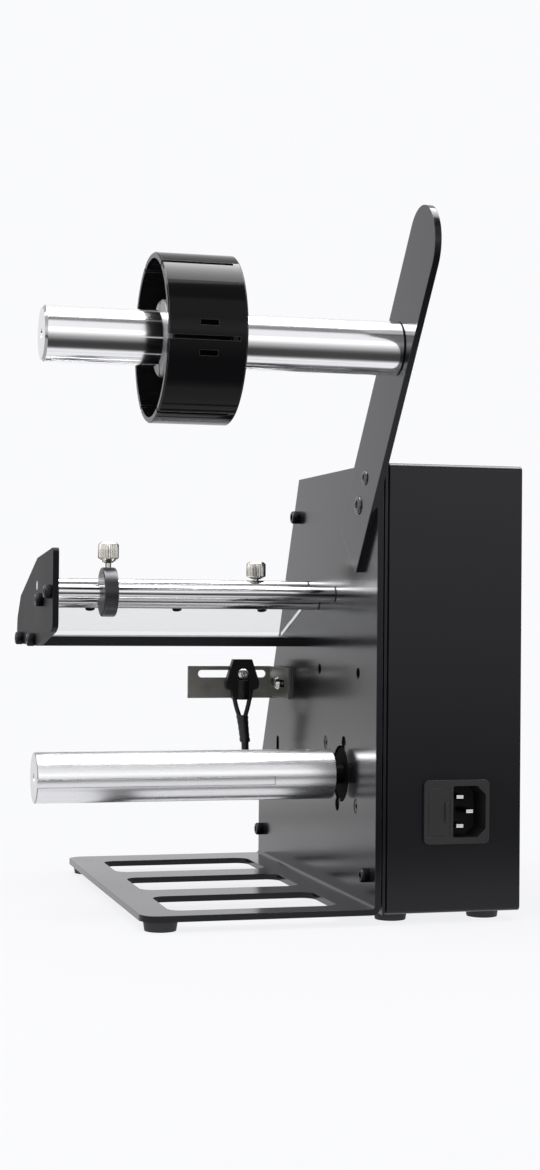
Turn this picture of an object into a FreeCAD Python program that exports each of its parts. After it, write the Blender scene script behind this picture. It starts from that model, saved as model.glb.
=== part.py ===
import FreeCAD, Part
import math
import os
import re
import Sketcher

# Label dispenser: an L-shaped chassis with a control housing behind its side plate, a driven
# take-up shaft, a supply spindle with a 3 inch roll core on a leaning arm, and a peel unit.
# X runs along the shafts, towards the housing; Y from the rear edge to the front; Z is up.
# The working zero is the rear lower edge of the side plate's outer face, on the floor.

SIZES = {
    # chassis, a bent sheet on rubber feet
    "sheet": 3.0,
    "foot_tall": 5.0,
    "foot_radius": 8.3,
    "foot_taper": 0.8,
    "foot_inset": 9.5,
    "foot_edge": 10.5,
    "box_foot_inset": 20.0,
    "box_foot_edge": 11.8,
    "side_tall": 216.0,
    "front_tall": 49.0,
    "base_deep": 220.0,
    "top_deep": 139.0,
    "base_reach": 112.7,
    "fold_radius": 4.5,
    "corner_radius": 9.0,
    "slot_long": 83.0,
    "slot_wide": 46.0,
    "slot_pitch": 68.0,
    "slot_first": 38.0,
    "slot_edge": 13.5,
    "slot_radius": 7.0,
    "spare_hole_radius": 2.8,
    "spare_hole_height": 119.2,
    "spare_hole_rear": 29.6,
    "spare_hole_front": 96.4,
    # control housing, a tray behind the side plate and a folded cover
    "insert_flange": 0.7,
    "panel_sheet": 1.2,
    "groove": 1.1,
    "housing_reach": 73.7,
    "housing_radius": 2.6,
    "fit_gap": 0.5,
    "lip_screw": 3.0,
    "lid_screw_edge": 30.0,
    "floor_screw_edge": 40.0,
    "tray_border": 20.0,
    "tray_lip": 9.0,
    "box_screw_inset": 11.9,
    "box_screw_low": 17.6,
    "box_screw_drop": 20.6,
    "box_screw_front": 7.9,
    "box_screw_over": 1.0,
    "insert_rim": 4.4,
    "insert_radius": 2.95,
    "insert_long": 9.7,
    # screws, by the radius of their threads, and the gaps round them
    "small_screw": 1.46,
    "screw_radius": 1.96,
    "large_screw": 2.46,
    "bolt_radius": 3.96,
    "tap_gap": 0.04,
    "pass_gap": 0.14,
    "tap_deep": 12.0,
    "screw_reach": 9.0,
    "head_tall": 2.0,
    "cross_half": 1.7,
    "cross_wide": 0.75,
    "low_key": 1.4,
    "low_floor": 0.9,
    # take-up drive
    "takeup_y": 57.6,
    "takeup_z": 67.7,
    "shaft_radius": 12.5,
    "takeup_gap": 5.4,
    "takeup_end": 155.4,
    "drive_hole": 14.2,
    "boss_radius": 13.2,
    "drive_radius": 5.0,
    "drive_depth": 26.0,
    "drive_inside": 14.0,
    "drive_flat": 1.0,
    "key_place": 12.0,
    "key_long": 6.0,
    "boss_long": 2.4,
    "ear_wide": 9.0,
    "ear_thick": 4.0,
    "shaft_edge": 0.5,
    "centre_radius": 2.2,
    "centre_deep": 4.0,
    "running_gap": 0.04,
    "clip_wide": 4.0,
    "clip_deep": 3.2,
    "clip_long": 118.0,
    "clip_angle": 9.0,
    "clip_fit": 0.15,
    "gearbox_radius": 28.0,
    "gearbox_long": 27.0,
    "motor_radius": 25.0,
    "motor_long": 36.0,
    "motor_screw_circle": 29.6,
    "motor_screw_angle": 28.0,
    "inner_screw_circle": 16.6,
    "inner_screw_angle": 108.0,
    "motor_hole": 3.5,
    "motor_head": 3.2,
    "motor_web": 0.8,
    # supply spindle on its arm
    "arm_sheet": 3.0,
    "arm_wide": 35.6,
    "arm_lean": 39.0,
    "arm_foot_y": 38.9,
    "arm_foot_z": 180.0,
    "arm_reach": 170.6,
    "arm_shaft": 116.9,
    "arm_screw_low": 27.5,
    "arm_screw_step": 16.4,
    "supply_end": 167.1,
    "spindle_chamfer": 1.2,
    "bolt_deep": 20.0,
    "core_radius": 37.9,
    "core_wall": 2.6,
    "core_wide": 35.4,
    "core_near": 118.2,
    "core_web": 3.0,
    "core_slot": 1.8,
    "core_slots": 6.0,
    "core_rim": 3.5,
    "core_edge": 0.55,
    "core_turn": 86.0,
    "slot_turn": 10.0,
    "spoke_start": 7.0,
    "spoke_end": 3.0,
    "spoke_root": 17.0,
    "spoke_tip": 22.0,
    "side_gap": 0.3,
    "bush_inset": 4.0,
    "bush_flange": 17.2,
    "bush_radius": 15.5,
    "bush_lip": 2.4,
    "bush_edge": 0.6,
    "bush_slit": 1.4,
    "bush_slit_long": 14.0,
    "notch_wide": 6.4,
    "notch_wall": 1.2,
    "ring_wide": 0.8,
    "ring_grip": 0.8,
    "ring_reach": 2.0,
    "ring_gap": 5.0,
    "window_start": 14.2,
    "window_angle": 10.0,
    "window_wide": 8.0,
    "window_tall": 2.4,
    # peel unit
    "rod_radius": 4.0,
    "rod_spigot": 2.4,
    "peel_reach": 142.5,
    "end_sheet": 3.0,
    "end_edge": 4.6,
    "end_over": 18.5,
    "end_far": 76.2,
    "end_rear_rise": 10.5,
    "end_step": 6.0,
    "end_step_rise": 8.0,
    "end_fall": 4.3,
    "end_round": 2.6,
    "end_screw_lift": 0.6,
    "nose_bevel": 4.5,
    "nose_rise": 7.1,
    "nose_lean": 1.5,
    "rake_run": 14.0,
    "rake_drop": 5.2,
    "rear_rod_y": 72.0,
    "rear_rod_z": 158.2,
    "low_rod_y": 101.5,
    "low_rod_z": 154.2,
    "front_rod_y": 122.0,
    "front_rod_z": 161.6,
    "table_near": 124.0,
    "table_deep": 58.0,
    "table_low": 130.3,
    "table_thick": 5.0,
    "table_screw_inset": 6.8,
    "clear_thick": 4.0,
    "clear_tilt": 19.5,
    "clear_behind": 9.0,
    "clear_round": 1.2,
    "clear_screw_first": 25.9,
    "clear_screw_pitch": 46.2,
    "clear_head_tall": 4.9,
    "collar_radius": 12.3,
    "collar_wide": 7.0,
    "collar_edge": 0.45,
    "collar_place": 117.2,
    "low_head": 3.8,
    "low_web": 1.0,
    "knob_radius": 5.3,
    "knob_tall": 8.4,
    "knob_cone": 2.0,
    "knob_stem": 2.2,
    "front_knob_stem": 0.4,
    "knob_neck": 2.4,
    "knob_edge": 0.5,
    "front_knob_place": 28.3,
    # sensor on its slotted bracket
    "bracket_sheet": 1.5,
    "strip_y": 195.0,
    "strip_long": 48.6,
    "strip_low": 99.4,
    "strip_tall": 18.2,
    "strip_slot_low": 111.1,
    "strip_slot_tall": 4.2,
    "strip_slot_start": 3.1,
    "strip_slot_long": 39.7,
    "flange_deep": 44.0,
    "flange_step": 1.2,
    "flange_slot_inset": 7.6,
    "flange_slot_long": 30.0,
    "flange_slot_tall": 4.4,
    "flange_slot_z": 108.6,
    "flange_screw_y": 173.9,
    "sensor_x": 17.8,
    "sensor_deep": 5.0,
    "sensor_top": 121.5,
    "sensor_low": 98.7,
    "sensor_half": 5.4,
    "waist_half": 6.2,
    "waist_rise": 5.2,
    "ear_root": 9.2,
    "ear_rise": 6.4,
    "ear_half": 9.7,
    "ear_top": 9.6,
    "sensor_boss": 3.4,
    "nut_tall": 2.4,
    "cable_radius": 2.1,
    "leg_radius": 1.3,
    "leg_spread": 4.2,
    "leg_close": 0.8,
    "cable_offset": 0.6,
    "sleeve_drop": 9.5,
    "sleeve_long": 8.2,
    "middle_long": 6.3,
    "cable_slot_y": 178.8,
    "cable_slot_top": 79.0,
    "cable_slot_long": 27.0,
    "cable_slot_wide": 5.4,
    "gland_long": 7.0,
    "gland_deep": 14.0,
    "gland_tall": 8.0,
    # inlet and controls
    "inlet_x": 23.9,
    "inlet_wide": 33.2,
    "inlet_low": 38.3,
    "inlet_tall": 30.7,
    "inlet_flange": 1.8,
    "inlet_rim": 1.6,
    "inlet_deep": 26.0,
    "socket_wide": 16.6,
    "socket_tall": 24.9,
    "socket_deep": 16.5,
    "socket_rim": 1.9,
    "socket_chamfer": 4.2,
    "drawer_wide": 10.6,
    "drawer_tall": 23.0,
    "drawer_deep": 22.0,
    "drawer_inset": 2.3,
    "drawer_wall": 1.0,
    "drawer_face": 2.0,
    "grip_wide": 1.6,
    "grip_out": 1.0,
    "pin_near": 7.4,
    "pin_far": 12.4,
    "pin_spread": 7.0,
    "pin_wide": 4.0,
    "pin_thick": 2.0,
    "fuse_long": 20.0,
    "fuse_radius": 2.5,
    "control_x": 40.0,
    "knob_down": 58.0,
    "switch_down": 112.0,
    "dial_radius": 11.0,
    "dial_tall": 14.0,
    "dial_flutes": 12.0,
    "dial_gap": 0.6,
    "dial_skirt": 2.4,
    "dial_slope": 1.7,
    "dial_edge": 1.0,
    "flute_radius": 1.5,
    "mark_wide": 1.0,
    "stem_radius": 2.96,
    "pot_bush": 3.5,
    "pot_radius": 8.0,
    "pot_deep": 8.0,
    "switch_long": 21.0,
    "switch_wide": 15.0,
    "switch_rim": 1.5,
    "switch_deep": 12.0,
    "rocker_tall": 4.6,
    "rocker_foot": 2.8,
    "rocker_pin": 1.2,
    "rocker_tilt": 8.0,
    # inside the housing
    "board_rear": 30.0,
    "board_low": 126.0,
    "board_deep": 80.0,
    "board_tall": 68.0,
    "board_thick": 1.6,
    "board_inset": 6.0,
    "pillar_long": 8.0,
    "sink_reach": 15.6,
    "sink_deep": 12.0,
    "coil_x": 14.0,
    "coil_y": 128.0,
    "coil_over": 6.0,
    "core_long": 38.0,
    "core_deep": 40.0,
    "core_tall": 34.0,
}

# Worked out from the sizes above, as formulas of the sheet.
DERIVED = {
    "deck": "foot_tall + sheet",
    "side_top": "foot_tall + side_tall",
    "panel_lean": "atan((base_deep - top_deep) / (side_tall - front_tall)) / 1 deg",
    "front_miter": "tan(panel_lean / 2)",
    "top_miter": "tan(45 - panel_lean / 2)",
    "tray_x": "sheet + insert_flange",
    "cover_x": "tray_x + panel_sheet + groove",
    "supply_y": "arm_foot_y - arm_shaft * sin(arm_lean)",
    "supply_z": "arm_foot_z + arm_shaft * cos(arm_lean)",
    "arm_top_y": "arm_foot_y - arm_reach * sin(arm_lean)",
    "centre_x": "(housing_reach - supply_end) / 2",
    "centre_y": "(base_deep + arm_top_y - arm_wide / 2) / 2",
    "table_top": "table_low + table_thick",
    "clear_run": "(front_rod_z - (rod_radius + clear_thick + running_gap) * cos(clear_tilt)"
                 " - table_top - running_gap) / sin(clear_tilt)",
    "core_far": "core_near - core_wide",
    "bush_x": "core_near - bush_inset",
    "strip_slot_z": "strip_slot_low + strip_slot_tall / 2",
    "cable_z": "cable_slot_top - cable_slot_long + cable_slot_wide",
}

doc = FreeCAD.newDocument("label_dispenser")
names = list(SIZES) + list(DERIVED)
sheet = doc.addObject("Spreadsheet::Sheet", "Sizes")
for row, name in enumerate(names, start=1):
    sheet.set("A%d" % row, name)
    sheet.set("B%d" % row, str(SIZES[name]) if name in SIZES else "=" + DERIVED[name])
    sheet.setAlias("B%d" % row, name)
doc.recompute()
PARTS = []


def size(name):
    """A size of the sheet as a plain number."""
    value = sheet.get(name)
    return float(getattr(value, "Value", value))


def formula(text):
    """A formula in which each size name points to its cell of the sheet."""
    def cell(match):
        word = match.group(0)
        return "Sizes." + word if word in names else word
    return re.sub(r"[a-z][a-z_]*", cell, str(text))


def bind(item, prop, text):
    """Ties one property to a formula of the sizes."""
    item.setExpression(prop, formula(text))


def locate(item, x="0", y="0", z="0", axis=None, angle="0"):
    """Ties an item's place to formulas in working coordinates, and turns it about an axis."""
    if axis:
        item.Placement = FreeCAD.Placement(FreeCAD.Vector(), FreeCAD.Rotation(FreeCAD.Vector(*axis), 1))
        bind(item, "Placement.Rotation.Angle", angle)
    bind(item, "Placement.Base.x", "(%s) - centre_x" % x)
    bind(item, "Placement.Base.y", "(%s) - centre_y" % y)
    bind(item, "Placement.Base.z", z)


def keep(item, label):
    """Names a finished sub-part, which is written out at the end."""
    item.Label = label
    PARTS.append(item)
    return item


def new_body(label):
    return keep(doc.addObject("PartDesign::Body", label), label)


def new_sketch(body, plane, lift="0"):
    """A sketch on one of the body's own planes, lifted along that plane's normal."""
    sketch = body.newObject("Sketcher::SketchObject", body.Name + "_outline")
    origin = [f for f in body.Origin.OriginFeatures if f.Role == plane][0]
    sketch.AttachmentSupport = [(origin, "")]
    sketch.MapMode = "FlatFace"
    bind(sketch, "AttachmentOffset.Base.z", lift)
    return sketch


def pin_point(sketch, geometry, position, start, x, y):
    """Holds one point of the sketch at the place that two formulas give."""
    for kind, text, value in (("DistanceX", x, start.x), ("DistanceY", y, start.y)):
        rule = Sketcher.Constraint(kind, -1, 1, geometry, position, value)
        index = sketch.addConstraint(rule)
        bind(sketch, "Constraints[%d]" % index, text)


def polygon(sketch, corners):
    """A closed outline of straight lines through corners given as pairs of formulas."""
    count = len(corners)
    first = sketch.GeometryCount
    turn = 2 * math.pi / count
    start = [FreeCAD.Vector(50 * math.cos(turn * k), 50 * math.sin(turn * k), 0) for k in range(count)]
    for k in range(count):
        sketch.addGeometry(Part.LineSegment(start[k], start[(k + 1) % count]))
    for k in range(count):
        sketch.addConstraint(Sketcher.Constraint("Coincident", first + k, 2, first + (k + 1) % count, 1))
    for k, (x, y) in enumerate(corners):
        pin_point(sketch, first + k, 1, start[k], x, y)


def rectangle(sketch, low_x, low_y, high_x, high_y):
    polygon(sketch, [(low_x, low_y), (high_x, low_y), (high_x, high_y), (low_x, high_y)])


def circle(sketch, x, y, radius):
    """A circle whose centre and radius are formulas."""
    centre = FreeCAD.Vector(7, 5, 0)
    index = sketch.addGeometry(Part.Circle(centre, FreeCAD.Vector(0, 0, 1), 3))
    rule = sketch.addConstraint(Sketcher.Constraint("Radius", index, 3))
    bind(sketch, "Constraints[%d]" % rule, radius)
    pin_point(sketch, index, 3, centre, x, y)


def pad(body, sketch, length):
    feature = body.newObject("PartDesign::Pad", body.Name + "_pad")
    feature.Profile = sketch
    bind(feature, "Length", length)
    return feature


def pocket(body, sketch, length):
    """Cuts the sketch against its plane's normal, and checks that something was cut."""
    doc.recompute()
    before = body.Shape.Volume
    feature = body.newObject("PartDesign::Pocket", body.Name + "_cut")
    feature.Profile = sketch
    bind(feature, "Length", length)
    doc.recompute()
    if body.Shape.Volume >= before:
        raise ValueError("a pocket of %s cuts nothing" % body.Label)
    return feature


def edges(feature, direction, inside):
    """Names of the straight edges along a direction whose middle lies where inside() says."""
    found = []
    doc.recompute()
    for number, edge in enumerate(feature.Shape.Edges, start=1):
        if not isinstance(edge.Curve, Part.Line):
            continue
        along = edge.Vertexes[-1].Point - edge.Vertexes[0].Point
        middle = edge.CenterOfMass
        if abs(along.normalize().dot(FreeCAD.Vector(*direction))) > 0.999 and inside(middle):
            found.append("Edge%d" % number)
    return found


def fillet(body, feature, picked, radius):
    rounded = body.newObject("PartDesign::Fillet", body.Name + "_round")
    rounded.Base = (feature, picked)
    bind(rounded, "Radius", radius)
    doc.recompute()
    return rounded


def turned(label, axis, profile):
    """A turned body: pairs of formulas, place along the axis and radius, revolved once round."""
    body = new_body(label)
    sketch = new_sketch(body, "XZ_Plane")
    if axis == "X":
        polygon(sketch, profile)
    else:
        polygon(sketch, [(radius, along) for along, radius in profile])
    feature = body.newObject("PartDesign::Revolution", label + "_turn")
    feature.Profile = sketch
    feature.ReferenceAxis = (sketch, ["H_Axis" if axis == "X" else "V_Axis"])
    feature.Angle = 360
    doc.recompute()
    return body


def polar(body, features, axis, count):
    """Repeats features evenly round one of the body's own axes."""
    pattern = body.newObject("PartDesign::PolarPattern", body.Name + "_ring")
    pattern.Originals = features
    pattern.Axis = ([f for f in body.Origin.OriginFeatures if f.Role == axis][0], [""])
    pattern.Angle = 360
    pattern.Occurrences = count
    body.Tip = pattern
    doc.recompute()
    return pattern


def block(x, y, z, long, deep, tall):
    """A plain block: its low corner and its sizes as formulas."""
    item = doc.addObject("Part::Box", "block")
    for prop, text in (("Length", long), ("Width", deep), ("Height", tall)):
        bind(item, prop, text)
    for letter, text in zip("xyz", (x, y, z)):
        bind(item, "Placement.Base." + letter, text)
    return item


BACK = {"+X": "-X", "-X": "+X", "+Y": "-Y", "-Y": "+Y", "+Z": "-Z", "-Z": "+Z"}
AIM = {"+X": ((0, 1, 0), "90"), "-X": ((0, 1, 0), "-90"), "+Y": ((1, 0, 0), "-90"),
       "-Y": ((1, 0, 0), "90"), "+Z": (None, "0"), "-Z": ((1, 0, 0), "180")}


def aim(item, way, x, y, z):
    """Stands a primitive at a place, with its own Z axis pointing along one of the six ways."""
    axis, angle = AIM[way]
    if axis:
        item.Placement = FreeCAD.Placement(FreeCAD.Vector(), FreeCAD.Rotation(FreeCAD.Vector(*axis), 1))
        bind(item, "Placement.Rotation.Angle", angle)
    for letter, text in zip("xyz", (x, y, z)):
        bind(item, "Placement.Base." + letter, text)
    return item


def cylinder(way, x, y, z, radius, long):
    item = doc.addObject("Part::Cylinder", "cylinder")
    bind(item, "Radius", radius)
    bind(item, "Height", long)
    return aim(item, way, x, y, z)


def cone(way, x, y, z, radius, tip_radius, long):
    item = doc.addObject("Part::Cone", "cone")
    bind(item, "Radius1", radius)
    bind(item, "Radius2", tip_radius)
    bind(item, "Height", long)
    return aim(item, way, x, y, z)


def hexagon(way, x, y, z, radius, long):
    item = doc.addObject("Part::Prism", "hexagon")
    item.Polygon = 6
    bind(item, "Circumradius", radius)
    bind(item, "Height", long)
    return aim(item, way, x, y, z)


def fuse(items):
    if len(items) == 1:
        return items[0]
    item = doc.addObject("Part::MultiFuse", "joined")
    item.Shapes = items
    return item


def cut(base, tools):
    item = doc.addObject("Part::Cut", "cut")
    item.Base = base
    item.Tool = fuse(tools)
    return item


def group(label, items):
    """Several separate solids kept under one name, as a set of fasteners is."""
    item = doc.addObject("Part::Compound", label)
    item.Links = items
    locate(item)
    return keep(item, label)


def profile(inset="0"):
    """The housing's five-sided outline seen along X, moved inwards by an inset."""
    return [
        (inset, "foot_tall + %s" % inset),
        ("base_deep - %s" % inset, "foot_tall + %s" % inset),
        ("base_deep - %s" % inset, "foot_tall + front_tall - (%s) * front_miter" % inset),
        ("top_deep - (%s) * top_miter" % inset, "side_top - %s" % inset),
        (inset, "side_top - %s" % inset),
    ]


def near(value, target):
    return abs(value - target) < 0.01


BOX_SCREWS = [
    ("box_screw_inset", "foot_tall + box_screw_low"),
    ("base_deep - box_screw_front", "foot_tall + box_screw_low"),
    ("top_deep + box_screw_over", "side_top - box_screw_drop"),
]
COVER_SCREWS = [
    ("+Z", ("lid_screw_edge", "side_top")),
    ("+Z", ("top_deep - lid_screw_edge", "side_top")),
    ("-Z", ("floor_screw_edge", "foot_tall")),
    ("-Z", ("base_deep - floor_screw_edge", "foot_tall")),
]
ARM_SCREWS = [
    ("arm_foot_y - (%s) * sin(arm_lean)" % along, "arm_foot_z + (%s) * cos(arm_lean)" % along)
    for along in ("arm_screw_low", "arm_screw_low + arm_screw_step")
]
ARM_THREADS = ("large_screw", "screw_radius")
RODS = [("rear_rod_y", "rear_rod_z"), ("low_rod_y", "low_rod_z"), ("front_rod_y", "front_rod_z")]
TABLE_SCREWS = [
    (place, "table_low + table_thick / 2")
    for place in ("table_near + table_screw_inset", "table_near + table_deep - table_screw_inset")
]
TABLE_END_SCREWS = [(place, low + " + end_screw_lift") for place, low in TABLE_SCREWS]
OUTER_MOTOR_SCREWS = [
    ("takeup_y %s motor_screw_circle * cos(motor_screw_angle)" % sign,
     "takeup_z %s motor_screw_circle * sin(motor_screw_angle)" % sign)
    for sign in "+-"
]
INNER_MOTOR_SCREWS = [
    ("takeup_y %s inner_screw_circle * cos(inner_screw_angle)" % sign,
     "takeup_z %s inner_screw_circle * sin(inner_screw_angle)" % sign)
    for sign in "+-"
]


def chassis():
    """Side plate and base plate folded from one sheet, with the base's three openings."""
    body = new_body("chassis")
    side = new_sketch(body, "YZ_Plane")
    polygon(side, profile())
    pad(body, side, "sheet")
    base = new_sketch(body, "XY_Plane", "foot_tall")
    rectangle(base, "-base_reach", "0", "sheet", "base_deep")
    plate = pad(body, base, "sheet")
    x_in, z_low, z_deck = size("sheet"), size("foot_tall"), size("deck")
    outer = edges(plate, (0, 1, 0), lambda p: near(p.x, x_in) and near(p.z, z_low))
    bend = fillet(body, plate, outer, "fold_radius")
    inner = edges(bend, (0, 1, 0), lambda p: near(p.x, 0) and near(p.z, z_deck))
    bend = fillet(body, bend, inner, "fold_radius - sheet")
    ends = edges(bend, (0, 0, 1), lambda p: near(p.x, -size("base_reach")))
    fillet(body, bend, ends, "corner_radius")
    opening = new_sketch(body, "XY_Plane", "deck + sheet")
    rectangle(opening, "-slot_edge - slot_long", "slot_first - slot_wide / 2",
              "-slot_edge", "slot_first + slot_wide / 2")
    slot = pocket(body, opening, "3 * sheet")
    row = body.newObject("PartDesign::LinearPattern", "slot_row")
    row.Originals = [slot]
    row.Direction = ([f for f in body.Origin.OriginFeatures if f.Role == "Y_Axis"][0], [""])
    bind(row, "Length", "2 * slot_pitch")
    row.Occurrences = 3
    body.Tip = row
    reach = size("base_reach") - size("corner_radius") / 2
    corners = edges(row, (0, 0, 1), lambda p: -reach < p.x < -1 and p.z < z_deck)
    fillet(body, row, corners, "slot_radius")
    holes = new_sketch(body, "YZ_Plane", "2 * sheet")
    circle(holes, "takeup_y", "takeup_z", "drive_hole")
    for y, z in OUTER_MOTOR_SCREWS:
        circle(holes, y, z, "small_screw + pass_gap")
    for y in ("spare_hole_rear", "spare_hole_front"):
        circle(holes, y, "spare_hole_height", "spare_hole_radius")
    for (y, z), thread in zip(ARM_SCREWS, ARM_THREADS):
        circle(holes, y, z, thread + " + tap_gap")
    for y, z in BOX_SCREWS + RODS + TABLE_SCREWS:
        circle(holes, y, z, "screw_radius + pass_gap")
    circle(holes, "flange_screw_y", "flange_slot_z", "screw_radius + tap_gap")
    pocket(body, holes, "3 * sheet")
    merged = new_sketch(body, "YZ_Plane", "2 * sheet")
    circle(merged, *INNER_MOTOR_SCREWS[0], "motor_hole")
    circle(merged, *INNER_MOTOR_SCREWS[1], "motor_hole")
    pocket(body, merged, "3 * sheet")
    seats = new_sketch(body, "YZ_Plane", "sheet")
    for y, z in RODS + TABLE_SCREWS:
        circle(seats, y, z, "low_head + 0.1")
    pocket(body, seats, "sheet - low_web")
    sinks = new_sketch(body, "YZ_Plane", "sheet - motor_web")
    for y, z in OUTER_MOTOR_SCREWS:
        circle(sinks, y, z, "motor_hole")
    pocket(body, sinks, "2 * sheet")
    gland = new_sketch(body, "YZ_Plane", "2 * sheet")
    rectangle(gland, "cable_slot_y - cable_slot_wide / 2", "cable_slot_top - cable_slot_long",
              "cable_slot_y + cable_slot_wide / 2", "cable_slot_top")
    opening = pocket(body, gland, "3 * sheet")
    low, high = size("cable_slot_top") - size("cable_slot_long"), size("cable_slot_top")
    middle = size("cable_slot_y")
    wide = size("cable_slot_wide")
    ends = edges(opening, (1, 0, 0),
                 lambda p: abs(p.y - middle) < wide and (near(p.z, low) or near(p.z, high)))
    fillet(body, opening, ends, "cable_slot_wide / 2 - 0.05")
    locate(body)


def housing_tray():
    """Flat panel behind the side plate, open in the middle, with lips that carry the cover."""
    body = doc.addObject("PartDesign::Body", "tray_panel")
    panel = new_sketch(body, "YZ_Plane", "tray_x")
    polygon(panel, profile())
    polygon(panel, profile("tray_border"))
    pad(body, panel, "panel_sheet")
    lip = new_sketch(body, "YZ_Plane", "tray_x")
    polygon(lip, profile("(panel_sheet + fit_gap)"))
    polygon(lip, profile("(2 * panel_sheet + fit_gap)"))
    pad(body, lip, "tray_lip")
    holes = new_sketch(body, "YZ_Plane", "tray_x + 2 * panel_sheet")
    for y, z in BOX_SCREWS:
        circle(holes, y, z, "insert_radius + tap_gap")
    pocket(body, holes, "3 * panel_sheet")
    item = cut(body, cover_holes())
    locate(item)
    keep(item, "housing_tray")


def cover_holes():
    """Cylinders for the holes in which the cover's screws stand."""
    return [cylinder(BACK[way], "cover_x + lip_screw", *place, "small_screw + tap_gap", "tray_lip")
            for way, place in COVER_SCREWS]


def housing_cover():
    """Folded sheet shell: rear, top, slanted front, front, floor and outer side in one piece."""
    body = doc.addObject("PartDesign::Body", "cover_shell")
    outside = new_sketch(body, "YZ_Plane", "cover_x")
    polygon(outside, profile())
    shell = pad(body, outside, "housing_reach - cover_x")
    folds = edges(shell, (1, 0, 0), lambda p: True)
    shell = fillet(body, shell, folds, "housing_radius")
    open_side = ["Face%d" % number for number, face in enumerate(shell.Shape.Faces, start=1)
                 if near(face.BoundBox.XMax, size("cover_x"))]
    hollow = body.newObject("PartDesign::Thickness", "cover_hollow")
    hollow.Base = (shell, open_side)
    hollow.Reversed = True
    bind(hollow, "Value", "panel_sheet")
    doc.recompute()
    inlet = block("inlet_x + inlet_rim", "-inlet_flange", "inlet_low + inlet_rim",
                  "inlet_wide - 2 * inlet_rim", "4 * inlet_flange", "inlet_tall - 2 * inlet_rim")
    shaft = cylinder("+Z", "0", "0", "0", "pot_bush + pass_gap", "4 * panel_sheet")
    on_panel(shaft, "knob_down", "-2 * panel_sheet")
    switch = doc.addObject("Part::Box", "switch_cut")
    bind(switch, "Length", "switch_wide + 2 * clip_fit")
    bind(switch, "Width", "switch_long + 2 * clip_fit")
    bind(switch, "Height", "4 * panel_sheet")
    on_panel(switch, "switch_down", "-2 * panel_sheet", "-switch_wide / 2 - clip_fit",
             "-switch_long / 2 - clip_fit")
    item = cut(body, [inlet, shaft, switch] + cover_holes())
    locate(item)
    keep(item, "housing_cover")


def on_panel(item, down, lift="0", shift_x="0", shift_y="0"):
    """Stands an item on the slanted front panel, its own Z axis pointing out of the panel."""
    item.Placement = FreeCAD.Placement(FreeCAD.Vector(), FreeCAD.Rotation(FreeCAD.Vector(1, 0, 0), 1))
    bind(item, "Placement.Rotation.Angle", "panel_lean - 90")
    bind(item, "Placement.Base.x", "control_x + (%s)" % shift_x)
    bind(item, "Placement.Base.y", "top_deep + (%s) * sin(panel_lean) + (%s) * cos(panel_lean)"
         " + (%s) * sin(panel_lean)" % (down, lift, shift_y))
    bind(item, "Placement.Base.z", "side_top - (%s) * cos(panel_lean) + (%s) * sin(panel_lean)"
         " - (%s) * cos(panel_lean)" % (down, lift, shift_y))
    return item


def cap_screw(way, x, y, z, thread, length):
    """Socket cap screw: the seat of its head at a place, head pointing the given way."""
    head = cylinder(way, x, y, z, "%s * 1.75" % thread, "2 * %s" % thread)
    shank = cylinder(BACK[way], x, y, z, thread, length)
    offset = {"x": x, "y": y, "z": z}
    axis = way[1].lower()
    offset[axis] = "(%s) %s %s" % (offset[axis], way[0], thread)
    socket = hexagon(way, offset["x"], offset["y"], offset["z"], "%s * 0.85" % thread, "2 * %s" % thread)
    return cut(fuse([head, shank]), [socket])


def button_screw(way, x, y, z, thread, length):
    """Button-head screw: a domed head with a hexagon socket."""
    head = cone(way, x, y, z, "%s * 1.9" % thread, "%s * 1.15" % thread, "%s * 1.1" % thread)
    shank = cylinder(BACK[way], x, y, z, thread, length)
    offset = {"x": x, "y": y, "z": z}
    axis = way[1].lower()
    offset[axis] = "(%s) %s %s * 0.45" % (offset[axis], way[0], thread)
    socket = hexagon(way, offset["x"], offset["y"], offset["z"], "%s * 0.7" % thread, thread)
    return cut(fuse([head, shank]), [socket])


def feet():
    """Six moulded rubber feet, two under the free side of the base and four under the housing."""
    items = []
    left = "-base_reach + foot_edge"
    right = "housing_reach - box_foot_edge"
    inner = "cover_x + foot_radius"
    places = [(left, "foot_inset"), (left, "base_deep - foot_inset")]
    places += [(x, y) for x in (inner, right) for y in ("box_foot_inset", "base_deep - box_foot_inset")]
    for x, y in places:
        items.append(cone("+Z", x, y, "0", "foot_radius - foot_taper", "foot_radius", "foot_tall"))
    group("feet", items)


def housing_screws():
    """Cap screws that hold the housing's tray to the side plate, and their rivet nuts."""
    screws = [cap_screw("-X", "0", y, z, "screw_radius", "sheet + screw_reach") for y, z in BOX_SCREWS]
    group("housing_screws", screws)
    nuts = []
    for y, z in BOX_SCREWS:
        flange = cylinder("+X", "sheet", y, z, "insert_rim", "insert_flange")
        barrel = cylinder("+X", "sheet", y, z, "insert_radius", "insert_long")
        bore = cylinder("+X", "0", y, z, "screw_radius + tap_gap", "sheet + 2 * insert_long")
        nuts.append(cut(fuse([flange, barrel]), [bore]))
    group("rivet_nuts", nuts)


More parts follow.
